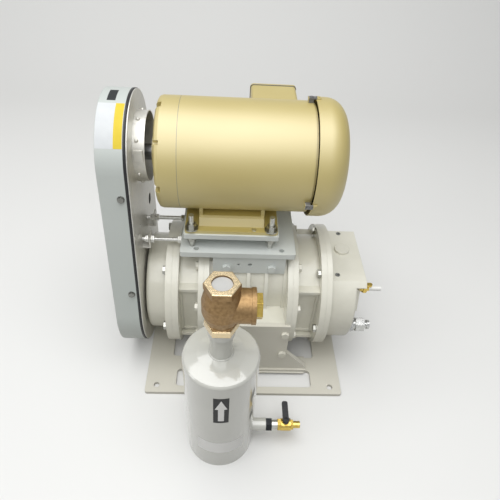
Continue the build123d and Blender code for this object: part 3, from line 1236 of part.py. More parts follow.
def valve_body():
    """Bronze body: hexagon ends, globe-shaped middle and a branch for the cover."""
    x, y = SILENCER_X, SILENCER_Y
    z0, z1 = NECK_TOP_Z, VALVE_TOP_Z
    outline = [(0, z0 + 6), (24, z0 + 6), (26, z0 + 18), (VALVE_BODY_R - 3, z0 + 34), (VALVE_BODY_R, z0 + 46),
               (VALVE_BODY_R, z1 - 42), (VALVE_BODY_R - 4, z1 - 25), (27, z1 - 12), (25, z1 - 6), (0, z1 - 6)]
    body = turned_z(outline)
    for bottom in (z0, z1 - VALVE_HEX_T):
        hexagonal = along_z(Pos(x, y) * hexagon(VALVE_HEX), bottom, bottom + VALVE_HEX_T)
        body += chamfer(hexagonal.faces().sort_by(Axis.Z)[-1].edges(), 1.5)
    body += disc_x(BRANCH_R, x, x + BRANCH_END, y, VALVE_MID_Z)
    body += disc_x(BRANCH_LIP[0], x + BRANCH_END - BRANCH_LIP[1], x + BRANCH_END, y, VALVE_MID_Z)
    body -= disc_z(THREAD_R, z0, z0 + 17, x, y)
    body -= disc_z(OUTLET_R, z1 - 20, z1, x, y)
    body -= disc_z(SEAT_BORE, z0, z1, x, y)
    body -= disc_z(CAVITY_R, SEAT_Z, CAVITY_TOP_Z, x, y)
    body -= disc_x(BRANCH_BORE, x, x + BRANCH_END, y, VALVE_MID_Z)
    pin_z = SEAT_Z + PIN_RISE
    return body - disc_y(PIN_R + SEAT_FIT, y - 24, y + 24, x + PIN_X, pin_z)


def valve_cover():
    """Brass hexagon cap screwed into the branch."""
    x0 = SILENCER_X + BRANCH_END
    cap = along_x(Pos(SILENCER_Y, VALVE_MID_Z) * hexagon(42), x0, x0 + 11)
    return cap + disc_x(BRANCH_BORE - THREAD_FIT, x0 - 12, x0, SILENCER_Y, VALVE_MID_Z)


def valve_pin():
    return disc_y(PIN_R, SILENCER_Y - 23.5, SILENCER_Y + 23.5, SILENCER_X + PIN_X, SEAT_Z + PIN_RISE)


def valve_flap():
    """Disc with its hinge arm, lying on the seat."""
    x, y, z0 = SILENCER_X, SILENCER_Y, SEAT_Z + FLAP_GAP
    flap = disc_z(FLAP_R, z0, z0 + FLAP_T, x, y) + disc_z(6, z0, z0 + FLAP_T + 5, x, y)
    flap += block(x, x + PIN_X, y - 5, y + 5, z0 + 1, z0 + FLAP_T + 4)
    eye_z = SEAT_Z + PIN_RISE
    flap += disc_y(5.5, y - 5, y + 5, x + PIN_X, eye_z)
    return flap - disc_y(PIN_R + RUNNING_FIT, y - 12, y + 12, x + PIN_X, eye_z)


def dust_plug():
    """Push-in plastic cap in the outlet thread."""
    top = VALVE_TOP_Z - 4.5
    plug = disc_z(OUTLET_R - 0.3, top - 10, top, SILENCER_X, SILENCER_Y)
    return plug - disc_z(OUTLET_R - 2.5, top - 10, top - 2.5, SILENCER_X, SILENCER_Y)


# ---- drain line --------------------------------------------------------------------------
SOCKET_R = 15.0
SOCKET_END = 49.0
BUSH_END = 86.0
COCK_END = 114.0
OUTLET_END = 130.0
COCK_BORE = 6.0
BALL_R = 10.0
STEM_R = 4.0


def drain_socket():
    """Weld-on socket at the foot of the tank."""
    x0 = SILENCER_X + TANK_R - TANK_WALL
    socket = disc_x(SOCKET_R, x0, SOCKET_END, SILENCER_Y, DRAIN_Z)
    socket -= disc_z(TANK_R + SEAT_FIT, 0, 2 * DRAIN_Z, SILENCER_X, SILENCER_Y)
    socket += disc_x(SOCKET_R - 3 - SEAT_FIT, x0, x0 + TANK_WALL + 2, SILENCER_Y, DRAIN_Z)
    socket -= disc_x(9.5, x0, x0 + 12, SILENCER_Y, DRAIN_Z)
    return socket - disc_x(11, x0 + 12, SOCKET_END, SILENCER_Y, DRAIN_Z)


def reducer_bush():
    x0 = SOCKET_END
    bush = disc_x(11 - THREAD_FIT, x0 - 14, x0, SILENCER_Y, DRAIN_Z)
    bush += along_x(Pos(SILENCER_Y, DRAIN_Z) * hexagon(27), x0, x0 + 14)
    bush += disc_x(10.5, x0 + 14, BUSH_END - 9, SILENCER_Y, DRAIN_Z)
    bush += disc_x(8 - THREAD_FIT, BUSH_END - 9, BUSH_END, SILENCER_Y, DRAIN_Z)
    return bush - disc_x(COCK_BORE, x0 - 14, BUSH_END, SILENCER_Y, DRAIN_Z)


def drain_cock_body():
    """Forged brass ball valve body."""
    x0, x1 = BUSH_END - 9, COCK_END
    middle = (x0 + x1) / 2
    body = along_x(Pos(SILENCER_Y, DRAIN_Z) * hexagon(25), x0, x0 + 10)
    body += along_x(Pos(SILENCER_Y, DRAIN_Z) * hexagon(22), x1 - 8, x1)
    body += disc_x(14, x0 + 8, x1 - 6, SILENCER_Y, DRAIN_Z)
    body += disc_z(7.5, DRAIN_Z, DRAIN_Z + 18, middle, SILENCER_Y)
    body -= disc_x(8, x0, x0 + 9, SILENCER_Y, DRAIN_Z)
    body -= disc_x(COCK_BORE, x0, x1, SILENCER_Y, DRAIN_Z)
    body -= Pos(middle, SILENCER_Y, DRAIN_Z) * Sphere(BALL_R + RUNNING_FIT)
    return body - disc_z(STEM_R + RUNNING_FIT, DRAIN_Z, DRAIN_Z + 18, middle, SILENCER_Y)


def drain_ball():
    """Bored ball with its stem."""
    middle = (BUSH_END - 9 + COCK_END) / 2
    ball = Pos(middle, SILENCER_Y, DRAIN_Z) * Sphere(BALL_R)
    ball -= disc_y(COCK_BORE, SILENCER_Y - 12, SILENCER_Y + 12, middle, DRAIN_Z)
    return ball + disc_z(STEM_R, DRAIN_Z + BALL_R - 2, DRAIN_Z + 23, middle, SILENCER_Y)


def drain_lever():
    """Flat lever with a black grip; across the pipe when the cock is shut."""
    middle = (BUSH_END - 9 + COCK_END) / 2
    z0 = DRAIN_Z + 18.3
    blade = block(middle - 7, middle + 7, SILENCER_Y - 9, SILENCER_Y + 48, z0, z0 + 4)
    blade = fillet(blade.edges().filter_by(Axis.Z), 5)
    hub = disc_z(8, z0, z0 + 8, middle, SILENCER_Y)
    return blade + hub - disc_z(STEM_R + SEAT_FIT, z0, z0 + 8, middle, SILENCER_Y)


def drain_outlet():
    """Short hose tail screwed into the cock."""
    tail = disc_x(COCK_BORE - THREAD_FIT, COCK_END - 6, COCK_END, SILENCER_Y, DRAIN_Z)
    tail += disc_x(8, COCK_END, OUTLET_END, SILENCER_Y, DRAIN_Z)
    return tail - disc_x(4, COCK_END - 6, OUTLET_END, SILENCER_Y, DRAIN_Z)


# ---- assembly: one node per piece or group of like pieces --------------------------------
LOWER_LOBE_TURN = 90.0                              # a lobe of the lower rotor points straight up
UPPER_LOBE_TURN = -90.0 + 180.0 / LOBES             # and a hollow of the upper one meets it
LOWER_TOOTH = 90.0
UPPER_TOOTH = -90.0 + 180.0 / GEAR_TEETH

parts["base_plate"] = base_plate()
parts["support_feet"] = group(support_foot(-1), support_foot(1))
parts["foot_bolts"] = foot_bolts()
parts["pump_casing"] = pump_casing()
parts["drive_side_plate"] = side_plate(-1, X_NECK, X_OUTER)
parts["gear_side_plate"] = side_plate(1, X_GEAR_NECK, X_GEAR_OUTER)
parts["casing_bolts"] = casing_bolts()
parts["drive_end_housing"] = drive_end_housing()
parts["end_flange_bolts"] = group(outer_bolts(-X_DRUM_FLANGE, -X_NECK), outer_bolts(X_GEAR_NECK, X_GEAR_FLANGE))
parts["gear_case"] = gear_case()
parts["oil_filler_plug"] = oil_filler_plug()
parts["socket_plugs"] = socket_plugs()
parts["oil_cock_body"] = oil_cock_body()
parts["oil_cock_handle"] = oil_cock_handle()
parts["oil_cock_spout"] = oil_cock_spout()
parts["oil_drain_fitting"] = oil_drain_fitting()
parts["drive_shaft"] = group(drive_shaft(), gear_nut(LOWER_Z))
parts["drive_rotor"] = rotor(LOWER_Z, LOWER_LOBE_TURN)
parts["drive_gear"] = timing_gear(LOWER_Z, LOWER_TOOTH)
parts["idle_shaft"] = group(idle_shaft(), gear_nut(UPPER_Z))
parts["idle_rotor"] = rotor(UPPER_Z, UPPER_LOBE_TURN)
parts["idle_gear"] = timing_gear(UPPER_Z, UPPER_TOOTH)
parts["pump_bearings"] = pump_bearings()
parts["shaft_seals"] = shaft_seals()
parts["pump_pulley"] = pulley(0, LOWER_Z, PUMP_PULLEY_R, PULLEY_SEAT_R + SEAT_FIT)
parts["motor_pulley"] = pulley(MOTOR_Y, MOTOR_Z, MOTOR_PULLEY_R, MOTOR_SHAFT_R + SEAT_FIT)
parts["v_belts"] = v_belts()
parts["guard_pan"] = guard_pan()
parts["guard_trim"] = guard_trim()
parts["guard_back_plate"] = guard_back_plate()
parts["guard_screws"] = guard_screws()
parts["guard_collar"] = group(guard_collar(), collar_rivets())
parts["guard_stays"] = group(guard_stays(), guard_stay_nuts())
parts["motor_bracket"] = motor_bracket()
parts["bracket_bolts"] = bracket_bolts()
parts["motor_studs"] = motor_studs()
parts["motor_plate"] = motor_plate()
parts["motor_nuts"] = motor_nuts()
parts["motor_foot"] = motor_foot()
parts["motor_frame"] = motor_frame()
parts["drive_end_bell"] = drive_end_bell()
parts["fan_end_bell"] = fan_end_bell()
parts["motor_screws"] = group(bell_bolts(), fan_cover_lugs())
parts["fan_cover"] = fan_cover()
parts["conduit_box"] = group(conduit_box(), conduit_gasket(), conduit_lid())
parts["stator_core"] = stator_core()
parts["motor_bearings"] = motor_bearings()
parts["motor_shaft"] = motor_shaft()
parts["motor_rotor_core"] = motor_rotor_core()
parts["cooling_fan"] = cooling_fan()
parts["tank_shell"] = group(tank_shell(), tank_bottom())
parts["tank_head"] = group(tank_head(), neck_pipe())
parts["drain_socket"] = drain_socket()
parts["reducer_bush"] = reducer_bush()
parts["drain_cock"] = group(drain_cock_body(), drain_outlet())
parts["drain_lever"] = group(drain_lever(), drain_ball())
parts["valve_body"] = group(valve_body(), valve_pin())
parts["valve_cover"] = valve_cover()
parts["valve_flap"] = valve_flap()
parts["dust_plug"] = dust_plug()

if __name__ == "__main__":
    os.makedirs("parts", exist_ok=True)
    for name, shape in parts.items():
        export_step(shape, f"parts/{name}.step")
    print(len(parts), "nodes")
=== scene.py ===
import math

import bpy
import bmesh
from mathutils import Matrix, Vector


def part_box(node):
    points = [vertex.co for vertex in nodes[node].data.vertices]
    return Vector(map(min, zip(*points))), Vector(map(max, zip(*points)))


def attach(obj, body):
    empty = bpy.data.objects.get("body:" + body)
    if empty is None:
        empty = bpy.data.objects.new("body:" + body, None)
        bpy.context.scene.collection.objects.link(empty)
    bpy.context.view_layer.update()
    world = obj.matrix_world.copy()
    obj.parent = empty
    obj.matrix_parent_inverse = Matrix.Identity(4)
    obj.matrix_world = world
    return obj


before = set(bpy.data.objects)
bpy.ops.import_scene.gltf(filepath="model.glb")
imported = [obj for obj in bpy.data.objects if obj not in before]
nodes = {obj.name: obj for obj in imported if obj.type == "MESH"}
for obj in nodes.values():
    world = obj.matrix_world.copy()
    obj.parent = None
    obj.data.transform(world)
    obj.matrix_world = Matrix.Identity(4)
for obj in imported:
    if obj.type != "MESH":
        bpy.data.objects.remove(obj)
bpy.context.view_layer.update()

# ---- camera ----------------------------------------------------------------------------------
# It stands in front of the pump at about head height and looks down on it, with the
# whole set in view from the belt guard to the oil cock.
camera = bpy.data.objects.new("camera", bpy.data.cameras.new("camera"))
bpy.context.scene.collection.objects.link(camera)
camera_right = Vector((0.998589, -0.014406, 0.051112))
camera_up = Vector((-0.027525, 0.682703, 0.730178))
camera_back = Vector((-0.045413, -0.730554, 0.681343))
turn = Matrix((camera_right, camera_up, camera_back)).transposed().to_4x4()
camera_place = Vector((-0.049, -0.860, 1.100))
camera.matrix_world = Matrix.Translation(camera_place) @ turn
camera.data.sensor_width = 36
camera.data.lens = 33.6
bpy.context.scene.camera = camera

# ---- base plate and support feet -------------------------------------------------------------
# Flame-cut steel plate with four windows, and two flanged feet welded up from plate. Both
# are sprayed in the warm off-white machine enamel of the pump; rolled faces lie flatter
# than the castings above them. Their colour is set darker than the castings' as painted
# shade for their low place under the pump.
MILLIMETRE = 0.001


def linear(hex_colour):
    """Linear RGBA of an sRGB hex colour."""
    channels = [int(hex_colour[i:i + 2], 16) / 255 for i in (1, 3, 5)]
    return [c / 12.92 if c <= 0.04045 else ((c + 0.055) / 1.055) ** 2.4 for c in channels] + [1.0]


def add_node(material, kind, settings=None, links=None):
    """A node of that kind; a link is a value, or the output socket that feeds the input."""
    node = material.node_tree.nodes.new(kind)
    for name, value in (settings or {}).items():
        setattr(node, name, value)
    for name, value in (links or {}).items():
        socket = node.inputs[name]
        if isinstance(value, bpy.types.NodeSocket):
            material.node_tree.links.new(value, socket)
        else:
            socket.default_value = value
    return node


def new_material(name):
    """Empty material, and the place on the piece that its patterns are laid out on."""
    material = bpy.data.materials.new(name)
    material.use_nodes = True
    material.node_tree.nodes.clear()
    return material, add_node(material, "ShaderNodeTexCoord").outputs["Object"]


def per_mm(size_mm):
    """Pattern scale at which one lump is that many millimetres across."""
    return 1 / (size_mm * MILLIMETRE)


def band_scale(size_mm):
    """Scale of a wave pattern at which one band is that many millimetres across."""
    return 2 * math.pi / 20 * per_mm(size_mm)


def finish_surface(material, colour, roughness, heights=(), edge_mm=0.0, **shader):
    """Joins colour, roughness, rounded edges and bumps, given as (pattern, depth in mm)."""
    normal = None
    if edge_mm:
        normal = add_node(material, "ShaderNodeBevel", {"samples": 4}, {
            "Radius": edge_mm * MILLIMETRE}).outputs["Normal"]
    for pattern, depth_mm in heights:
        links = {"Height": pattern, "Distance": depth_mm * MILLIMETRE, "Strength": 1.0}
        if normal is not None:
            links["Normal"] = normal
        normal = add_node(material, "ShaderNodeBump", {}, links).outputs["Normal"]
    links = {"Base Color": colour, "Roughness": roughness}
    if normal is not None:
        links["Normal"] = normal
    links.update({name.replace("_", " "): value for name, value in shader.items()})
    surface = add_node(material, "ShaderNodeBsdfPrincipled", {}, links)
    add_node(material, "ShaderNodeOutputMaterial", {}, {"Surface": surface.outputs["BSDF"]})
    return material


def paint(material, *names):
    """Gives CAD nodes that finish."""
    for name in names:
        mesh = nodes[name].data
        mesh.materials.clear()
        mesh.materials.append(material)


def sprayed_plate(name, dark, light):
    """Enamel on rolled plate: long faint clouds, and the fine orange peel of a spray gun."""
    material, spot = new_material(name)
    clouds = add_node(material, "ShaderNodeTexNoise", {}, {
        "Vector": spot, "Scale": per_mm(140), "Detail": 3.0}).outputs["Fac"]
    waves = add_node(material, "ShaderNodeTexNoise", {}, {
        "Vector": spot, "Scale": per_mm(32), "Detail": 2.0}).outputs["Fac"]
    peel = add_node(material, "ShaderNodeTexNoise", {}, {
        "Vector": spot, "Scale": per_mm(2.2), "Detail": 1.0}).outputs["Fac"]
    colour = add_node(material, "ShaderNodeMix", {"data_type": "RGBA"}, {
        0: clouds, 6: linear(dark), 7: linear(light)}).outputs[2]
    sheen = add_node(material, "ShaderNodeMapRange", {}, {
        "Value": waves, "To Min": 0.30, "To Max": 0.42}).outputs["Result"]
    return finish_surface(material, colour, sheen, [(waves, 0.18), (peel, 0.03)], 0.8,
                          Coat_Weight=0.2, Coat_Roughness=0.2)


# a darker copy of the pump's enamel: painted shade on the low base plate, feet and welds
shaded_plate_enamel = sprayed_plate("shaded_plate_enamel", "#C6C3B6", "#D7D4C8")
paint(shaded_plate_enamel, "base_plate", "support_feet")


def add_piece(name, mesh, material, body):
    """Smooth-shaded piece of that material, riding on the body."""
    data = bpy.data.meshes.new(name)
    bmesh.ops.recalc_face_normals(mesh, faces=mesh.faces)
    mesh.to_mesh(data)
    mesh.free()
    for face in data.polygons:
        face.use_smooth = True
    data.materials.append(material)
    piece = bpy.data.objects.new(name, data)
    bpy.context.scene.collection.objects.link(piece)
    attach(piece, body)
    return piece


# Fillet welds hold the feet to the base plate: half-round beads with a ripple every
# 4 mm, laid by hand and painted over.
WELD_LEG_MM = 3.2
WELD_END_GAP = 4 * MILLIMETRE       # the bead stops short of the foot's corners
WELD_STAND_OUT = 0.5 * MILLIMETRE   # its middle lies this far outside the foot's face
VALLEY_SHARE = 0.80                 # bead radius between two ripples, as a share of the leg
RIPPLE_SHARE = 0.14                 # and what the crest of a ripple adds to it


def weld_bead(name, start, end, leg_mm, ripple_mm=4.0, rings_per_ripple=4, sides=10):
    """Rippled round bead along a straight joint, its ends closed."""
    mesh = bmesh.new()
    along = (end - start).normalized()
    across = along.orthogonal().normalized()
    up = along.cross(across)
    steps = int((end - start).length / (ripple_mm * MILLIMETRE)) * rings_per_ripple
    rings = []
    for i in range(steps + 1):
        swell = abs(math.sin(math.pi * i / rings_per_ripple))
        radius = leg_mm * MILLIMETRE * (VALLEY_SHARE + RIPPLE_SHARE * swell)
        ring = []
        for k in range(sides):
            angle = 2 * math.pi * k / sides
            offset = radius * (across * math.cos(angle) + up * math.sin(angle))
            ring.append(mesh.verts.new(start.lerp(end, i / steps) + offset))
        rings.append(ring)
    for a, b in zip(rings, rings[1:]):
        for k in range(sides):
            mesh.faces.new((a[k], a[(k + 1) % sides], b[(k + 1) % sides], b[k]))
    mesh.faces.new(list(reversed(rings[0])))
    mesh.faces.new(rings[-1])
    return add_piece(name, mesh, shaded_plate_enamel, "pump_frame")


foot_low, foot_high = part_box("support_feet")
base_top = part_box("base_plate")[1].z
for side, y in (("front", foot_low.y), ("rear", foot_high.y)):
    outwards = Vector((0, math.copysign(WELD_STAND_OUT, y), 0))
    start = Vector((foot_low.x + WELD_END_GAP, y, base_top)) + outwards
    end = Vector((foot_high.x - WELD_END_GAP, y, base_top)) + outwards
    weld_bead(f"foot_weld_{side}", start, end, WELD_LEG_MM)

# ---- rotor casing, side plates, end housings and their bolts ---------------------------------
# Grey iron sand castings in the same enamel. The paint fills the sand grain only in part,
# so the faces stay softly uneven, and every cast edge is rounded. The bolts of the inner
# joints were sprayed over together with the castings.


def sprayed_casting():
    """Enamel over sand grain: soft broken highlights on the flats and along round edges."""
    material, spot = new_material("cast_iron_enamel")
    clouds = add_node(material, "ShaderNodeTexNoise", {}, {
        "Vector": spot, "Scale": per_mm(90), "Detail": 4.0}).outputs["Fac"]
    lumps = add_node(material, "ShaderNodeTexNoise", {}, {
        "Vector": spot, "Scale": per_mm(11), "Detail": 2.0}).outputs["Fac"]
    # moulding sand is about 0.3 mm; drawn at 1.6 mm so that it shows
    sand = add_node(material, "ShaderNodeTexNoise", {}, {
        "Vector": spot, "Scale": per_mm(1.6), "Detail": 3.0}).outputs["Fac"]
    colour = add_node(material, "ShaderNodeMix", {"data_type": "RGBA"}, {
        0: clouds, 6: linear("#CDCBBC"), 7: linear("#EAE8DC")}).outputs[2]
    sheen = add_node(material, "ShaderNodeMapRange", {}, {
        "Value": lumps, "To Min": 0.28, "To Max": 0.44}).outputs["Result"]
    return finish_surface(material, colour, sheen, [(lumps, 0.40), (sand, 0.10)], 1.6,
                          Coat_Weight=0.5, Coat_Roughness=0.12)


casting_enamel = sprayed_casting()
paint(casting_enamel, "pump_casing", "drive_side_plate", "gear_side_plate", "drive_end_housing",
      "gear_case", "foot_bolts", "casing_bolts", "oil_filler_plug")


# Screws of the outer joints, studs, nuts and stays: cold-formed steel, zinc plated and
# clear passivated, a bright silver with slightly cloudy patches.
DRAWN_PITCH_MM = 3.5    # threads are cut at 1.75 mm, drawn at twice that so that they show


def zinc_plated(name, dark, light, thread_axis=None):
    """Silver with cloudy patches; a threaded part has ridges along its axis instead of marks."""
    material, spot = new_material(name)
    clouds = add_node(material, "ShaderNodeTexNoise", {}, {
        "Vector": spot, "Scale": per_mm(6), "Detail": 3.0}).outputs["Fac"]
    marks = add_node(material, "ShaderNodeTexNoise", {}, {
        "Vector": spot, "Scale": per_mm(1.5), "Detail": 1.0}).outputs["Fac"]
    colour = add_node(material, "ShaderNodeMix", {"data_type": "RGBA"}, {
        0: clouds, 6: linear(dark), 7: linear(light)}).outputs[2]
    sheen = add_node(material, "ShaderNodeMapRange", {}, {
        "Value": clouds, "To Min": 0.22, "To Max": 0.38}).outputs["Result"]
    heights = [(marks, 0.02)]
    if thread_axis:
        ridges = add_node(material, "ShaderNodeTexWave", {
            "wave_type": "BANDS", "bands_direction": thread_axis, "wave_profile": "TRI"}, {
            "Vector": spot, "Scale": band_scale(DRAWN_PITCH_MM),
            "Distortion": 0.0}).outputs["Fac"]
        heights = [(ridges, 0.35)]
    edge_mm = 0.0 if thread_axis else 0.5
    return finish_surface(material, colour, sheen, heights, edge_mm, Metallic=1.0)


zinc_plate = zinc_plated("zinc_plate", "#8B8B85", "#BABAB3")
paint(zinc_plate, "end_flange_bolts", "motor_nuts")
# pan heads and their lock washers, dulled by a darker passivation
paint(zinc_plated("dull_zinc", "#6F706C", "#9A9A95"), "guard_screws")
paint(zinc_plated("stud_thread", "#A9A9A3", "#E0E0DA", "Z"), "motor_studs")
# the stays get a paler copy of the zinc: painted light that lifts them out of the shade of the gap
# they cross
paint(zinc_plated("stay_thread_painted_light", "#BFBFBB", "#EFEFEC", "X"), "guard_stays")

# ---- oil fittings of the gear case -----------------------------------------------------------
# Two socket plugs of plain steel in the flat top, a forged brass cock with a white PVC
# spout, and a nickel plated drain coupling with a chequered ring.


def forged_brass():
    """Warm yellow metal with duller patches left by the forge."""
    material, spot = new_material("forged_brass")
    patches = add_node(material, "ShaderNodeTexNoise", {}, {
        "Vector": spot, "Scale": per_mm(7), "Detail": 2.0}).outputs["Fac"]
    skin = add_node(material, "ShaderNodeTexNoise", {}, {
        "Vector": spot, "Scale": per_mm(1.0), "Detail": 2.0}).outputs["Fac"]
    colour = add_node(material, "ShaderNodeMix", {"data_type": "RGBA"}, {
        0: patches, 6: linear("#B8923A"), 7: linear("#EED77E")}).outputs[2]
    return finish_surface(material, colour, 0.27, [(skin, 0.03)], 0.6, Metallic=1.0)


def nickel_plated():
    """Mirror-like plate; the ring is knurled at 1.2 mm, drawn at 2 mm so that it shows."""
    material, spot = new_material("nickel_plate")
    patches = add_node(material, "ShaderNodeTexNoise", {}, {
        "Vector": spot, "Scale": per_mm(9), "Detail": 2.0}).outputs["Fac"]
    knurl = add_node(material, "ShaderNodeTexChecker", {}, {
        "Vector": spot, "Scale": per_mm(2.0)}).outputs["Fac"]
    colour = add_node(material, "ShaderNodeMix", {"data_type": "RGBA"}, {
        0: patches, 6: linear("#A9AAA8"), 7: linear("#E2E2DF")}).outputs[2]
    return finish_surface(material, colour, 0.18, [(knurl, 0.12)], 0.5, Metallic=1.0)


def plain_steel():
    """Mid-grey metal with an even, dull shine."""
    material, spot = new_material("plain_steel")
    patches = add_node(material, "ShaderNodeTexNoise", {}, {
        "Vector": spot, "Scale": per_mm(5), "Detail": 2.0}).outputs["Fac"]
    skin = add_node(material, "ShaderNodeTexNoise", {}, {
        "Vector": spot, "Scale": per_mm(0.8), "Detail": 1.0}).outputs["Fac"]
    colour = add_node(material, "ShaderNodeMix", {"data_type": "RGBA"}, {
        0: patches, 6: linear("#7E807D"), 7: linear("#A6A7A2")}).outputs[2]
    return finish_surface(material, colour, 0.38, [(skin, 0.02)], 0.4, Metallic=0.9)


def white_pvc():
    """Clean white and slightly waxy, with a soft highlight along the tube."""
    material, spot = new_material("white_pvc")
    patches = add_node(material, "ShaderNodeTexNoise", {}, {
        "Vector": spot, "Scale": per_mm(15), "Detail": 2.0}).outputs["Fac"]
    skin = add_node(material, "ShaderNodeTexNoise", {}, {
        "Vector": spot, "Scale": per_mm(2.0), "Detail": 1.0}).outputs["Fac"]
    colour = add_node(material, "ShaderNodeMix", {"data_type": "RGBA"}, {
        0: patches, 6: linear("#DEDEDA"), 7: linear("#EFEFEC")}).outputs[2]
    return finish_surface(material, colour, 0.35, [(skin, 0.01)], 0.4)


brass = forged_brass()
paint(plain_steel(), "socket_plugs")
paint(brass, "oil_cock_body", "oil_cock_handle", "drain_cock", "valve_cover")
paint(white_pvc(), "oil_cock_spout")
paint(nickel_plated(), "oil_drain_fitting")

# ---- shafts, bearings, rotors and pulleys ----------------------------------------------------
# Ground and turned steel inside the machine, with plain grey iron where it is left as
# cast, and black rubber for the belts and seals.


def turned_steel():
    """Tool marks run round the shafts about 0.3 mm apart, drawn at 1.5 mm so that they show."""
    material, spot = new_material("turned_steel")
    patches = add_node(material, "ShaderNodeTexNoise", {}, {
        "Vector": spot, "Scale": per_mm(20), "Detail": 2.0}).outputs["Fac"]
    marks = add_node(material, "ShaderNodeTexWave", {
        "wave_type": "BANDS", "bands_direction": "X", "wave_profile": "SIN"}, {
        "Vector": spot, "Scale": band_scale(1.5), "Distortion": 0.4}).outputs["Fac"]
    colour = add_node(material, "ShaderNodeMix", {"data_type": "RGBA"}, {
        0: patches, 6: linear("#8F9294"), 7: linear("#C0C2C3")}).outputs[2]
    return finish_surface(material, colour, 0.25, [(marks, 0.015)], 0.4, Metallic=1.0)


def bare_cast_iron():
    """Dark grey and rough, with hardly any highlight."""
    material, spot = new_material("bare_cast_iron")
    patches = add_node(material, "ShaderNodeTexNoise", {}, {
        "Vector": spot, "Scale": per_mm(5), "Detail": 3.0}).outputs["Fac"]
    skin = add_node(material, "ShaderNodeTexNoise", {}, {
        "Vector": spot, "Scale": per_mm(1.2), "Detail": 3.0}).outputs["Fac"]
    colour = add_node(material, "ShaderNodeMix", {"data_type": "RGBA"}, {
        0: patches, 6: linear("#404244"), 7: linear("#707274")}).outputs[2]
    return finish_surface(material, colour, 0.55, [(skin, 0.08)], 0.8, Metallic=0.7)


def black_rubber():
    """Matte black that only greys a little where light grazes it."""
    material, spot = new_material("black_rubber")
    patches = add_node(material, "ShaderNodeTexNoise", {}, {
        "Vector": spot, "Scale": per_mm(8), "Detail": 2.0}).outputs["Fac"]
    skin = add_node(material, "ShaderNodeTexNoise", {}, {
        "Vector": spot, "Scale": per_mm(0.7), "Detail": 2.0}).outputs["Fac"]
    colour = add_node(material, "ShaderNodeMix", {"data_type": "RGBA"}, {
        0: patches, 6: linear("#131314"), 7: linear("#262628")}).outputs[2]
    return finish_surface(material, colour, 0.7, [(skin, 0.03)])


paint(turned_steel(), "drive_shaft", "idle_shaft", "motor_shaft", "pump_bearings",
      "motor_bearings", "drive_gear", "idle_gear", "motor_rotor_core", "stator_core")
paint(bare_cast_iron(), "drive_rotor", "idle_rotor", "pump_pulley", "motor_pulley")
paint(black_rubber(), "guard_trim", "v_belts", "shaft_seals")

# ---- belt guard ------------------------------------------------------------------------------
# Folded 2 mm sheet steel in light blue-grey powder coat, closed by a galvanised back
# plate with rubber edging between them. The collar round the motor shaft is rolled from
# the same galvanised sheet and riveted.


EDGING_WIDTH = 3.5 * MILLIMETRE


def powder_coat():
    """Even satin blue-grey with a faint orange peel, and a black rim."""
    material, spot = new_material("powder_coat")
    clouds = add_node(material, "ShaderNodeTexNoise", {}, {
        "Vector": spot, "Scale": per_mm(200), "Detail": 2.0}).outputs["Fac"]
    # orange peel of a powder coat is about 1.5 mm across
    peel = add_node(material, "ShaderNodeTexNoise", {}, {
        "Vector": spot, "Scale": per_mm(1.5), "Detail": 1.0}).outputs["Fac"]
    coat = add_node(material, "ShaderNodeMix", {"data_type": "RGBA"}, {
        0: clouds, 6: linear("#B7BEBA"), 7: linear("#C9CECA")}).outputs[2]
    # a black rubber edging is pushed on the rim next to the back plate
    across = add_node(material, "ShaderNodeSeparateXYZ", {}, {"Vector": spot}).outputs["X"]
    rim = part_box("guard_pan")[1].x - EDGING_WIDTH
    edging = add_node(material, "ShaderNodeMath", {"operation": "GREATER_THAN"}, {
        0: across, 1: rim}).outputs["Value"]
    colour = add_node(material, "ShaderNodeMix", {"data_type": "RGBA"}, {
        0: edging, 6: coat, 7: linear("#1A1A1B")}).outputs[2]
    return finish_surface(material, colour, 0.38, [(peel, 0.03)], 2.0,
                          Coat_Weight=0.15, Coat_Roughness=0.3)


def galvanised_sheet():
    """Zinc crystals about 9 mm across, only faintly different in shade."""
    material, spot = new_material("galvanised_sheet")
    spangle = add_node(material, "ShaderNodeTexVoronoi", {"feature": "F1"}, {
        "Vector": spot, "Scale": per_mm(9)}).outputs["Color"]
    shade = add_node(material, "ShaderNodeRGBToBW", {}, {"Color": spangle}).outputs["Val"]
    dents = add_node(material, "ShaderNodeTexNoise", {}, {
        "Vector": spot, "Scale": per_mm(28), "Detail": 2.0}).outputs["Fac"]
    colour = add_node(material, "ShaderNodeMix", {"data_type": "RGBA"}, {
        0: shade, 6: linear("#D3D2CC"), 7: linear("#E2E0D9")}).outputs[2]
    sheen = add_node(material, "ShaderNodeMapRange", {}, {
        "Value": shade, "To Min": 0.34, "To Max": 0.46}).outputs["Result"]
    return finish_surface(material, colour, sheen, [(dents, 0.12)], 0.6, Metallic=0.55)


paint(powder_coat(), "guard_pan")
paint(galvanised_sheet(), "guard_back_plate", "guard_collar")


# Bare vinyl panels stuck on the band of the guard near its top: a white one with a
# yellow edge strip, and a small dark one above it. Neither carries any marking.
def vinyl(name, dark, light):
    """Calendered film with a faint ripple where it was rubbed down by hand."""
    material, spot = new_material(name)
    ripple = add_node(material, "ShaderNodeTexNoise", {}, {
        "Vector": spot, "Scale": per_mm(20), "Detail": 2.0}).outputs["Fac"]
    colour = add_node(material, "ShaderNodeMix", {"data_type": "RGBA"}, {
        0: ripple, 6: linear(dark), 7: linear(light)}).outputs[2]
    return finish_surface(material, colour, 0.6, [(ripple, 0.04)])


guard_low, guard_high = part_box("guard_pan")
motor_axis = (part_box("motor_frame")[0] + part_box("motor_frame")[1]) / 2
guard_top_r = guard_high.z - motor_axis.z
FILM_T = 0.12 * MILLIMETRE
LARGE_ARC = (105.5, 147.5)      # degrees, where 90 is straight up and 180 is the front
SMALL_ARC = (84, 102)


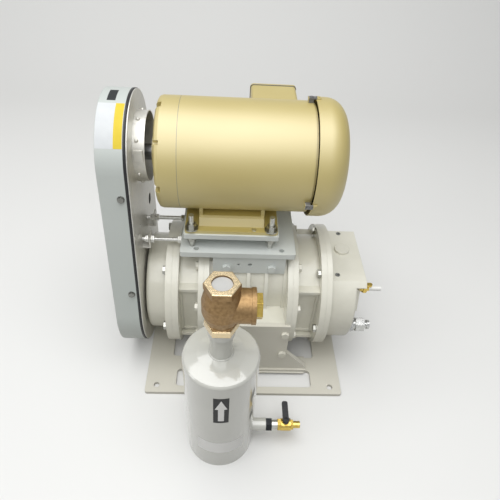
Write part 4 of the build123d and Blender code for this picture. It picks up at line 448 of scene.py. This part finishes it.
def guard_panel(name, material, from_mm, to_mm, arc, steps=24):
    """Panel wrapped on the round top of the guard, between two distances from its outer face."""
    x0 = guard_low.x + from_mm * MILLIMETRE
    x1 = guard_low.x + to_mm * MILLIMETRE
    mesh = bmesh.new()
    rows = []
    for i in range(steps + 1):
        angle = math.radians(arc[0] + (arc[1] - arc[0]) * i / steps)
        y = motor_axis.y + (guard_top_r + FILM_T) * math.cos(angle)
        z = motor_axis.z + (guard_top_r + FILM_T) * math.sin(angle)
        rows.append((mesh.verts.new((x0, y, z)), mesh.verts.new((x1, y, z))))
    for a, b in zip(rows, rows[1:]):
        mesh.faces.new((a[0], a[1], b[1], b[0]))
    return add_piece(name, mesh, material, "pump_frame")


white_vinyl = vinyl("white_vinyl", "#CBCED0", "#D7DADB")
yellow_vinyl = vinyl("yellow_vinyl", "#D3B922", "#E0C838")
dark_vinyl = vinyl("dark_vinyl", "#15191A", "#22282A")
guard_panel("guard_panel_white", white_vinyl, 1, 36, LARGE_ARC)
guard_panel("guard_panel_yellow", yellow_vinyl, 36, 53, LARGE_ARC)
guard_panel("guard_panel_small", dark_vinyl, 16, 33, SMALL_ARC)

# ---- motor bracket ---------------------------------------------------------------------------
# Saddle of thick plate with bolted webs, sprayed a cooler grey than the pump. The motor
# plate above it rides on the adjusting nuts that set the belt tension.
bracket_enamel = sprayed_plate("bracket_enamel", "#C8CDCA", "#DCE0DC")
paint(bracket_enamel, "motor_bracket", "motor_plate", "bracket_bolts")

# ---- motor -----------------------------------------------------------------------------------
# Rolled steel band with a cast shield at the drive end and a spun cover over the fan, all
# sprayed in pale gold enamel. Titania-coated mica in the lacquer, with an index near 2.5,
# gives a broad creamy sheen where the light falls, over a deep ochre gold in the shade.


# A dark band across a part: its axis, how far its middle lies in from the part's far face,
# and half its width, in millimetres.
DARK_BANDS = {
    # the joint against the rolled band shows as a fine dark line
    "drive_end_bell": ("X", 0.3, 0.5),
    # the fan cover's clips stand on black rubber where they meet the band
    "motor_screws": ("X", 17, 8.5),
    # black rubber gasket between the terminal box and its lid
    "conduit_box": ("Y", 6, 1.05),
}


def gold_enamel(name, banded_part=None):
    """Pale gold with a broad creamy sheen; a banded part has its dark band as well."""
    material, spot = new_material(name)
    clouds = add_node(material, "ShaderNodeTexNoise", {}, {
        "Vector": spot, "Scale": per_mm(160), "Detail": 2.0}).outputs["Fac"]
    waves = add_node(material, "ShaderNodeTexNoise", {}, {
        "Vector": spot, "Scale": per_mm(16), "Detail": 2.0}).outputs["Fac"]
    # real flake is about 0.05 mm; drawn at 0.8 mm so that it shows
    flake = add_node(material, "ShaderNodeTexNoise", {}, {
        "Vector": spot, "Scale": per_mm(0.8), "Detail": 1.0}).outputs["Fac"]
    colour = add_node(material, "ShaderNodeMix", {"data_type": "RGBA"}, {
        0: clouds, 6: linear("#B09C40"), 7: linear("#BEAC5C")}).outputs[2]
    if banded_part:
        axis, inset_mm, half_mm = DARK_BANDS[banded_part]
        across = add_node(material, "ShaderNodeSeparateXYZ", {}, {"Vector": spot}).outputs[axis]
        middle = getattr(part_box(banded_part)[1], axis.lower()) - inset_mm * MILLIMETRE
        band = add_node(material, "ShaderNodeMath", {"operation": "COMPARE"}, {
            0: across, 1: middle, 2: half_mm * MILLIMETRE}).outputs["Value"]
        colour = add_node(material, "ShaderNodeMix", {"data_type": "RGBA"}, {
            0: band, 6: colour, 7: linear("#1D1C1A")}).outputs[2]
    return finish_surface(material, colour, 0.5, [(waves, 0.12), (flake, 0.008)], 1.5,
                          Metallic=0.12, Coat_Weight=1.0, Coat_Roughness=0.54, Coat_IOR=2.5)


paint(gold_enamel("gold_enamel"), "motor_frame", "fan_end_bell", "fan_cover", "motor_foot")
for part_name in DARK_BANDS:
    paint(gold_enamel(f"gold_enamel_{part_name}", part_name), part_name)


# Moulded nylon fan behind the cover, and the grip of the drain cock.
def black_nylon():
    """Satin black, a little lighter than the rubber."""
    material, spot = new_material("black_nylon")
    patches = add_node(material, "ShaderNodeTexNoise", {}, {
        "Vector": spot, "Scale": per_mm(12), "Detail": 2.0}).outputs["Fac"]
    skin = add_node(material, "ShaderNodeTexNoise", {}, {
        "Vector": spot, "Scale": per_mm(0.8), "Detail": 1.0}).outputs["Fac"]
    colour = add_node(material, "ShaderNodeMix", {"data_type": "RGBA"}, {
        0: patches, 6: linear("#17181A"), 7: linear("#2B2C2F")}).outputs[2]
    return finish_surface(material, colour, 0.5, [(skin, 0.02)], 0.6)


paint(black_nylon(), "cooling_fan", "drain_lever")

# ---- silencer --------------------------------------------------------------------------------
# Rolled and welded steel drum with a pressed head, in a glossier light grey enamel than
# the pump. A thin weld ring joins the head to the shell and another the neck to the head.


def gloss_enamel():
    """Smooth light grey under a clear, glossy coat."""
    material, spot = new_material("gloss_enamel")
    clouds = add_node(material, "ShaderNodeTexNoise", {}, {
        "Vector": spot, "Scale": per_mm(120), "Detail": 2.0}).outputs["Fac"]
    waves = add_node(material, "ShaderNodeTexNoise", {}, {
        "Vector": spot, "Scale": per_mm(22), "Detail": 1.0}).outputs["Fac"]
    colour = add_node(material, "ShaderNodeMix", {"data_type": "RGBA"}, {
        0: clouds, 6: linear("#BBBBB3"), 7: linear("#CCCCC5")}).outputs[2]
    return finish_surface(material, colour, 0.16, [(waves, 0.05)], 0.8,
                          Coat_Weight=1.0, Coat_Roughness=0.03)


tank_enamel = gloss_enamel()
paint(tank_enamel, "tank_shell", "tank_head", "drain_socket")
tank_low, tank_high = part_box("tank_shell")
tank_axis = (tank_low + tank_high) / 2
tank_r = (tank_high.x - tank_low.x) / 2


def weld_ring(name, radius, z, wire_mm, steps=72, sides=8):
    """Level ring of weld round the silencer's axis, its section a round of wire_mm radius."""
    mesh = bmesh.new()
    rings = []
    for i in range(steps):
        around = 2 * math.pi * i / steps
        out = Vector((math.cos(around), math.sin(around), 0))
        middle = Vector((tank_axis.x, tank_axis.y, z)) + out * radius
        section = []
        for k in range(sides):
            angle = 2 * math.pi * k / sides
            offset = out * math.cos(angle) + Vector((0, 0, 1)) * math.sin(angle)
            section.append(mesh.verts.new(middle + wire_mm * MILLIMETRE * offset))
        rings.append(section)
    for i in range(steps):
        a, b = rings[i], rings[(i + 1) % steps]
        for k in range(sides):
            mesh.faces.new((a[k], a[(k + 1) % sides], b[(k + 1) % sides], b[k]))
    return add_piece(name, mesh, tank_enamel, "pump_frame")


HEAD_WELD_INSET = 1.2 * MILLIMETRE
NECK_WELD_R = 22.8 * MILLIMETRE
NECK_RISE = 16 * MILLIMETRE     # from the top of the shell to where the neck leaves the head
weld_ring("head_weld", tank_r - HEAD_WELD_INSET, tank_high.z, 1.1)
weld_ring("neck_weld", NECK_WELD_R, tank_high.z + NECK_RISE, 2.0)


# Plain vinyl panels on the shell: a black one with a white arrow that points up along
# the flow, and a bare pale one near the floor.
HAIR = 1e-9     # slack for rounding at the corners of an outline


def shell_panel(name, material, middle_degrees, width, low, high, lift, outline, steps=24):
    """Panel wrapped on the shell; the outline gives (share of width, share of height)."""
    mesh = bmesh.new()
    left, right = min(p[0] for p in outline), max(p[0] for p in outline)
    rows = []
    for i in range(steps + 1):
        share = left + (right - left) * i / steps
        heights = []
        for (u0, v0), (u1, v1) in zip(outline, outline[1:] + outline[:1]):
            if u0 != u1 and min(u0, u1) - HAIR <= share <= max(u0, u1) + HAIR:
                heights.append(v0 + (v1 - v0) * (share - u0) / (u1 - u0))
        angle = math.radians(middle_degrees) + share * width / tank_r
        x = tank_axis.x + (tank_r + lift) * math.cos(angle)
        y = tank_axis.y + (tank_r + lift) * math.sin(angle)
        rows.append([mesh.verts.new((x, y, low + height * (high - low)))
                     for height in (min(heights), max(heights))])
    for a, b in zip(rows, rows[1:]):
        mesh.faces.new((a[0], b[0], b[1], a[1]))
    return add_piece(name, mesh, material, "pump_frame")


FRONT = 272     # degrees round the shell, where 270 faces straight forwards
FULL = [(-0.5, 0), (0.5, 0), (0.5, 1), (-0.5, 1)]
ARROW_HEAD = [(-0.5, 0.58), (0, 1), (0.5, 0.58)]
black_vinyl = vinyl("black_vinyl", "#0C0C0D", "#161718")
shell_white_vinyl = vinyl("shell_white_vinyl", "#EFEFED", "#F8F8F6")
shell_panel("arrow_panel", black_vinyl, FRONT, width=0.031, low=0.204, high=0.298,
            lift=FILM_T, outline=FULL)
shell_panel("arrow_head", shell_white_vinyl, FRONT, width=0.025, low=0.212, high=0.290,
            lift=2 * FILM_T, outline=ARROW_HEAD)
shell_panel("arrow_shaft", shell_white_vinyl, FRONT, width=0.012, low=0.212, high=0.262,
            lift=2 * FILM_T, outline=FULL)
shell_panel("shell_panel_low", shell_white_vinyl, FRONT, width=0.108, low=0.066, high=0.113,
            lift=FILM_T, outline=FULL)


# The reducing bush in the drain socket: its hexagon is chemically blackened, and the
# rest is zinc plated.
ZINC_END = 23 * MILLIMETRE


def blackened_bush():
    """Near-black hexagon with a bright zinc end."""
    material, spot = new_material("blackened_bush")
    patches = add_node(material, "ShaderNodeTexNoise", {}, {
        "Vector": spot, "Scale": per_mm(5), "Detail": 2.0}).outputs["Fac"]
    along = add_node(material, "ShaderNodeSeparateXYZ", {}, {"Vector": spot}).outputs["X"]
    zinc_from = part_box("reducer_bush")[1].x - ZINC_END
    zinc = add_node(material, "ShaderNodeMath", {"operation": "GREATER_THAN"}, {
        0: along, 1: zinc_from}).outputs["Value"]
    black = add_node(material, "ShaderNodeMix", {"data_type": "RGBA"}, {
        0: patches, 6: linear("#242527"), 7: linear("#3C3E41")}).outputs[2]
    colour = add_node(material, "ShaderNodeMix", {"data_type": "RGBA"}, {
        0: zinc, 6: black, 7: linear("#C4C4BE")}).outputs[2]
    return finish_surface(material, colour, 0.34, [(patches, 0.04)], 0.5, Metallic=0.9)


paint(blackened_bush(), "reducer_bush")

# ---- check valve -----------------------------------------------------------------------------
# Sand-cast bronze body: matte and grainy, but bright and smooth on the lower hexagon and
# on the top face, which were machined. A thin polyethylene cap keeps dust out of the outlet.
TOP_FACE_DEPTH = 1.2 * MILLIMETRE
LOWER_HEXAGON = 15.5 * MILLIMETRE


def cast_bronze():
    """Brown, grainy and matte, but pale and smooth where it was machined."""
    material, spot = new_material("cast_bronze")
    patches = add_node(material, "ShaderNodeTexNoise", {}, {
        "Vector": spot, "Scale": per_mm(6), "Detail": 3.0}).outputs["Fac"]
    # sand grain of the mould, 0.4 mm, drawn at 1.1 mm so that it shows
    sand = add_node(material, "ShaderNodeTexNoise", {}, {
        "Vector": spot, "Scale": per_mm(1.1), "Detail": 3.0}).outputs["Fac"]
    cast = add_node(material, "ShaderNodeMix", {"data_type": "RGBA"}, {
        0: patches, 6: linear("#735939"), 7: linear("#B39469")}).outputs[2]
    machined = add_node(material, "ShaderNodeMix", {"data_type": "RGBA"}, {
        0: patches, 6: linear("#D6BF95"), 7: linear("#EDDBB8")}).outputs[2]
    height = add_node(material, "ShaderNodeSeparateXYZ", {}, {"Vector": spot}).outputs["Z"]
    low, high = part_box("valve_body")
    upper = add_node(material, "ShaderNodeMath", {"operation": "GREATER_THAN"}, {
        0: height, 1: high.z - TOP_FACE_DEPTH}).outputs["Value"]
    lower = add_node(material, "ShaderNodeMath", {"operation": "LESS_THAN"}, {
        0: height, 1: low.z + LOWER_HEXAGON}).outputs["Value"]
    cut = add_node(material, "ShaderNodeMath", {"operation": "MAXIMUM"}, {
        0: upper, 1: lower}).outputs["Value"]
    colour = add_node(material, "ShaderNodeMix", {"data_type": "RGBA"}, {
        0: cut, 6: cast, 7: machined}).outputs[2]
    sheen = add_node(material, "ShaderNodeMapRange", {}, {
        "Value": cut, "To Min": 0.46, "To Max": 0.26}).outputs["Result"]
    return finish_surface(material, colour, sheen, [(patches, 0.3), (sand, 0.22)], 1.0,
                          Metallic=0.85)


def polyethylene():
    """Pale and cloudy, with a soft shine."""
    material, spot = new_material("polyethylene")
    patches = add_node(material, "ShaderNodeTexNoise", {}, {
        "Vector": spot, "Scale": per_mm(20), "Detail": 2.0}).outputs["Fac"]
    skin = add_node(material, "ShaderNodeTexNoise", {}, {
        "Vector": spot, "Scale": per_mm(6), "Detail": 1.0}).outputs["Fac"]
    colour = add_node(material, "ShaderNodeMix", {"data_type": "RGBA"}, {
        0: patches, 6: linear("#AFAFAD"), 7: linear("#BFBFBC")}).outputs[2]
    return finish_surface(material, colour, 0.42, [(skin, 0.02)], 0.5)


paint(cast_bronze(), "valve_body", "valve_flap")
paint(polyethylene(), "dust_plug")

# ---- floor, lamps and world ------------------------------------------------------------------
# Plain pale floor and backdrop in one sweep, a large soft lamp overhead, and weaker ones
# high in front and on the left.
FLOOR_REACH = 40.0      # metres from the pump to the sides and the front edge
BEND_START = 1.4        # metres behind the pump, where the floor begins to rise
BEND_R = 1.6
BEND_STEPS = 24
WALL_TOP = 5.0
floor_mesh = bmesh.new()
profile = [(-FLOOR_REACH, 0.0)]
for step in range(BEND_STEPS + 1):
    angle = math.radians(90 * step / BEND_STEPS)
    profile.append((BEND_START + BEND_R * math.sin(angle), BEND_R * (1 - math.cos(angle))))
profile.append((BEND_START + BEND_R, WALL_TOP))
lines = [(floor_mesh.verts.new((-FLOOR_REACH, y, z)), floor_mesh.verts.new((FLOOR_REACH, y, z)))
         for y, z in profile]
for a, b in zip(lines, lines[1:]):
    floor_mesh.faces.new((a[0], a[1], b[1], b[0]))
backdrop_data = bpy.data.meshes.new("backdrop")
floor_mesh.to_mesh(backdrop_data)
floor_mesh.free()
for face in backdrop_data.polygons:
    face.use_smooth = True
backdrop = bpy.data.objects.new("backdrop", backdrop_data)
bpy.context.scene.collection.objects.link(backdrop)


def seen_or_mirrored(owner):
    """1 where the camera sees it, also by way of metal or glass, and 0 as a source of light."""
    path = add_node(owner, "ShaderNodeLightPath")
    mirrored = add_node(owner, "ShaderNodeMath", {"operation": "MAXIMUM"}, {
        0: path.outputs["Is Glossy Ray"], 1: path.outputs["Is Transmission Ray"]}).outputs["Value"]
    return add_node(owner, "ShaderNodeMath", {"operation": "MAXIMUM"}, {
        0: path.outputs["Is Camera Ray"], 1: mirrored}).outputs["Value"]


paper = new_material("backdrop_paper")[0]
# pale where it is seen or mirrored, but it throws little light up under the pump
pale = add_node(paper, "ShaderNodeMix", {"data_type": "RGBA"}, {
    0: seen_or_mirrored(paper), 6: linear("#6E6A60"), 7: linear("#E2E2E0")}).outputs[2]
finish_surface(paper, pale, 0.8)
backdrop_data.materials.append(paper)


def soft_lamp(name, at, target, size, watts):
    """Rectangular lamp that faces its target; places and sizes are in metres."""
    lamp = bpy.data.lights.new(name, "AREA")
    lamp.shape = "RECTANGLE"
    lamp.size, lamp.size_y = size
    lamp.energy = watts
    holder = bpy.data.objects.new(name, lamp)
    bpy.context.scene.collection.objects.link(holder)
    aim = (Vector(target) - Vector(at)).normalized()
    faces_target = aim.to_track_quat("-Z", "Y").to_matrix().to_4x4()
    holder.matrix_world = Matrix.Translation(at) @ faces_target


soft_lamp("overhead", (-0.2, -0.2, 3.8), (0, 0, 0.3), (4.0, 3.0), 122)
soft_lamp("front", (-0.4, -2.4, 3.0), (0, 0, 0.4), (2.6, 1.4), 29)
soft_lamp("left", (-2.6, -1.2, 1.5), (0, 0, 0.3), (0.8, 2.0), 12)
world = bpy.data.worlds.new("studio")
world.use_nodes = True
bpy.context.scene.world = world
sky = world.node_tree.nodes["Background"]
sky.inputs["Color"].default_value = linear("#F2F4F6")
# pale where it is seen or mirrored, and a weaker fill for the shaded sides
strength = add_node(world, "ShaderNodeMapRange", {}, {
    "Value": seen_or_mirrored(world), "To Min": 0.4, "To Max": 0.68}).outputs["Result"]
world.node_tree.links.new(strength, sky.inputs["Strength"])
bpy.context.scene.view_settings.view_transform = "Standard"
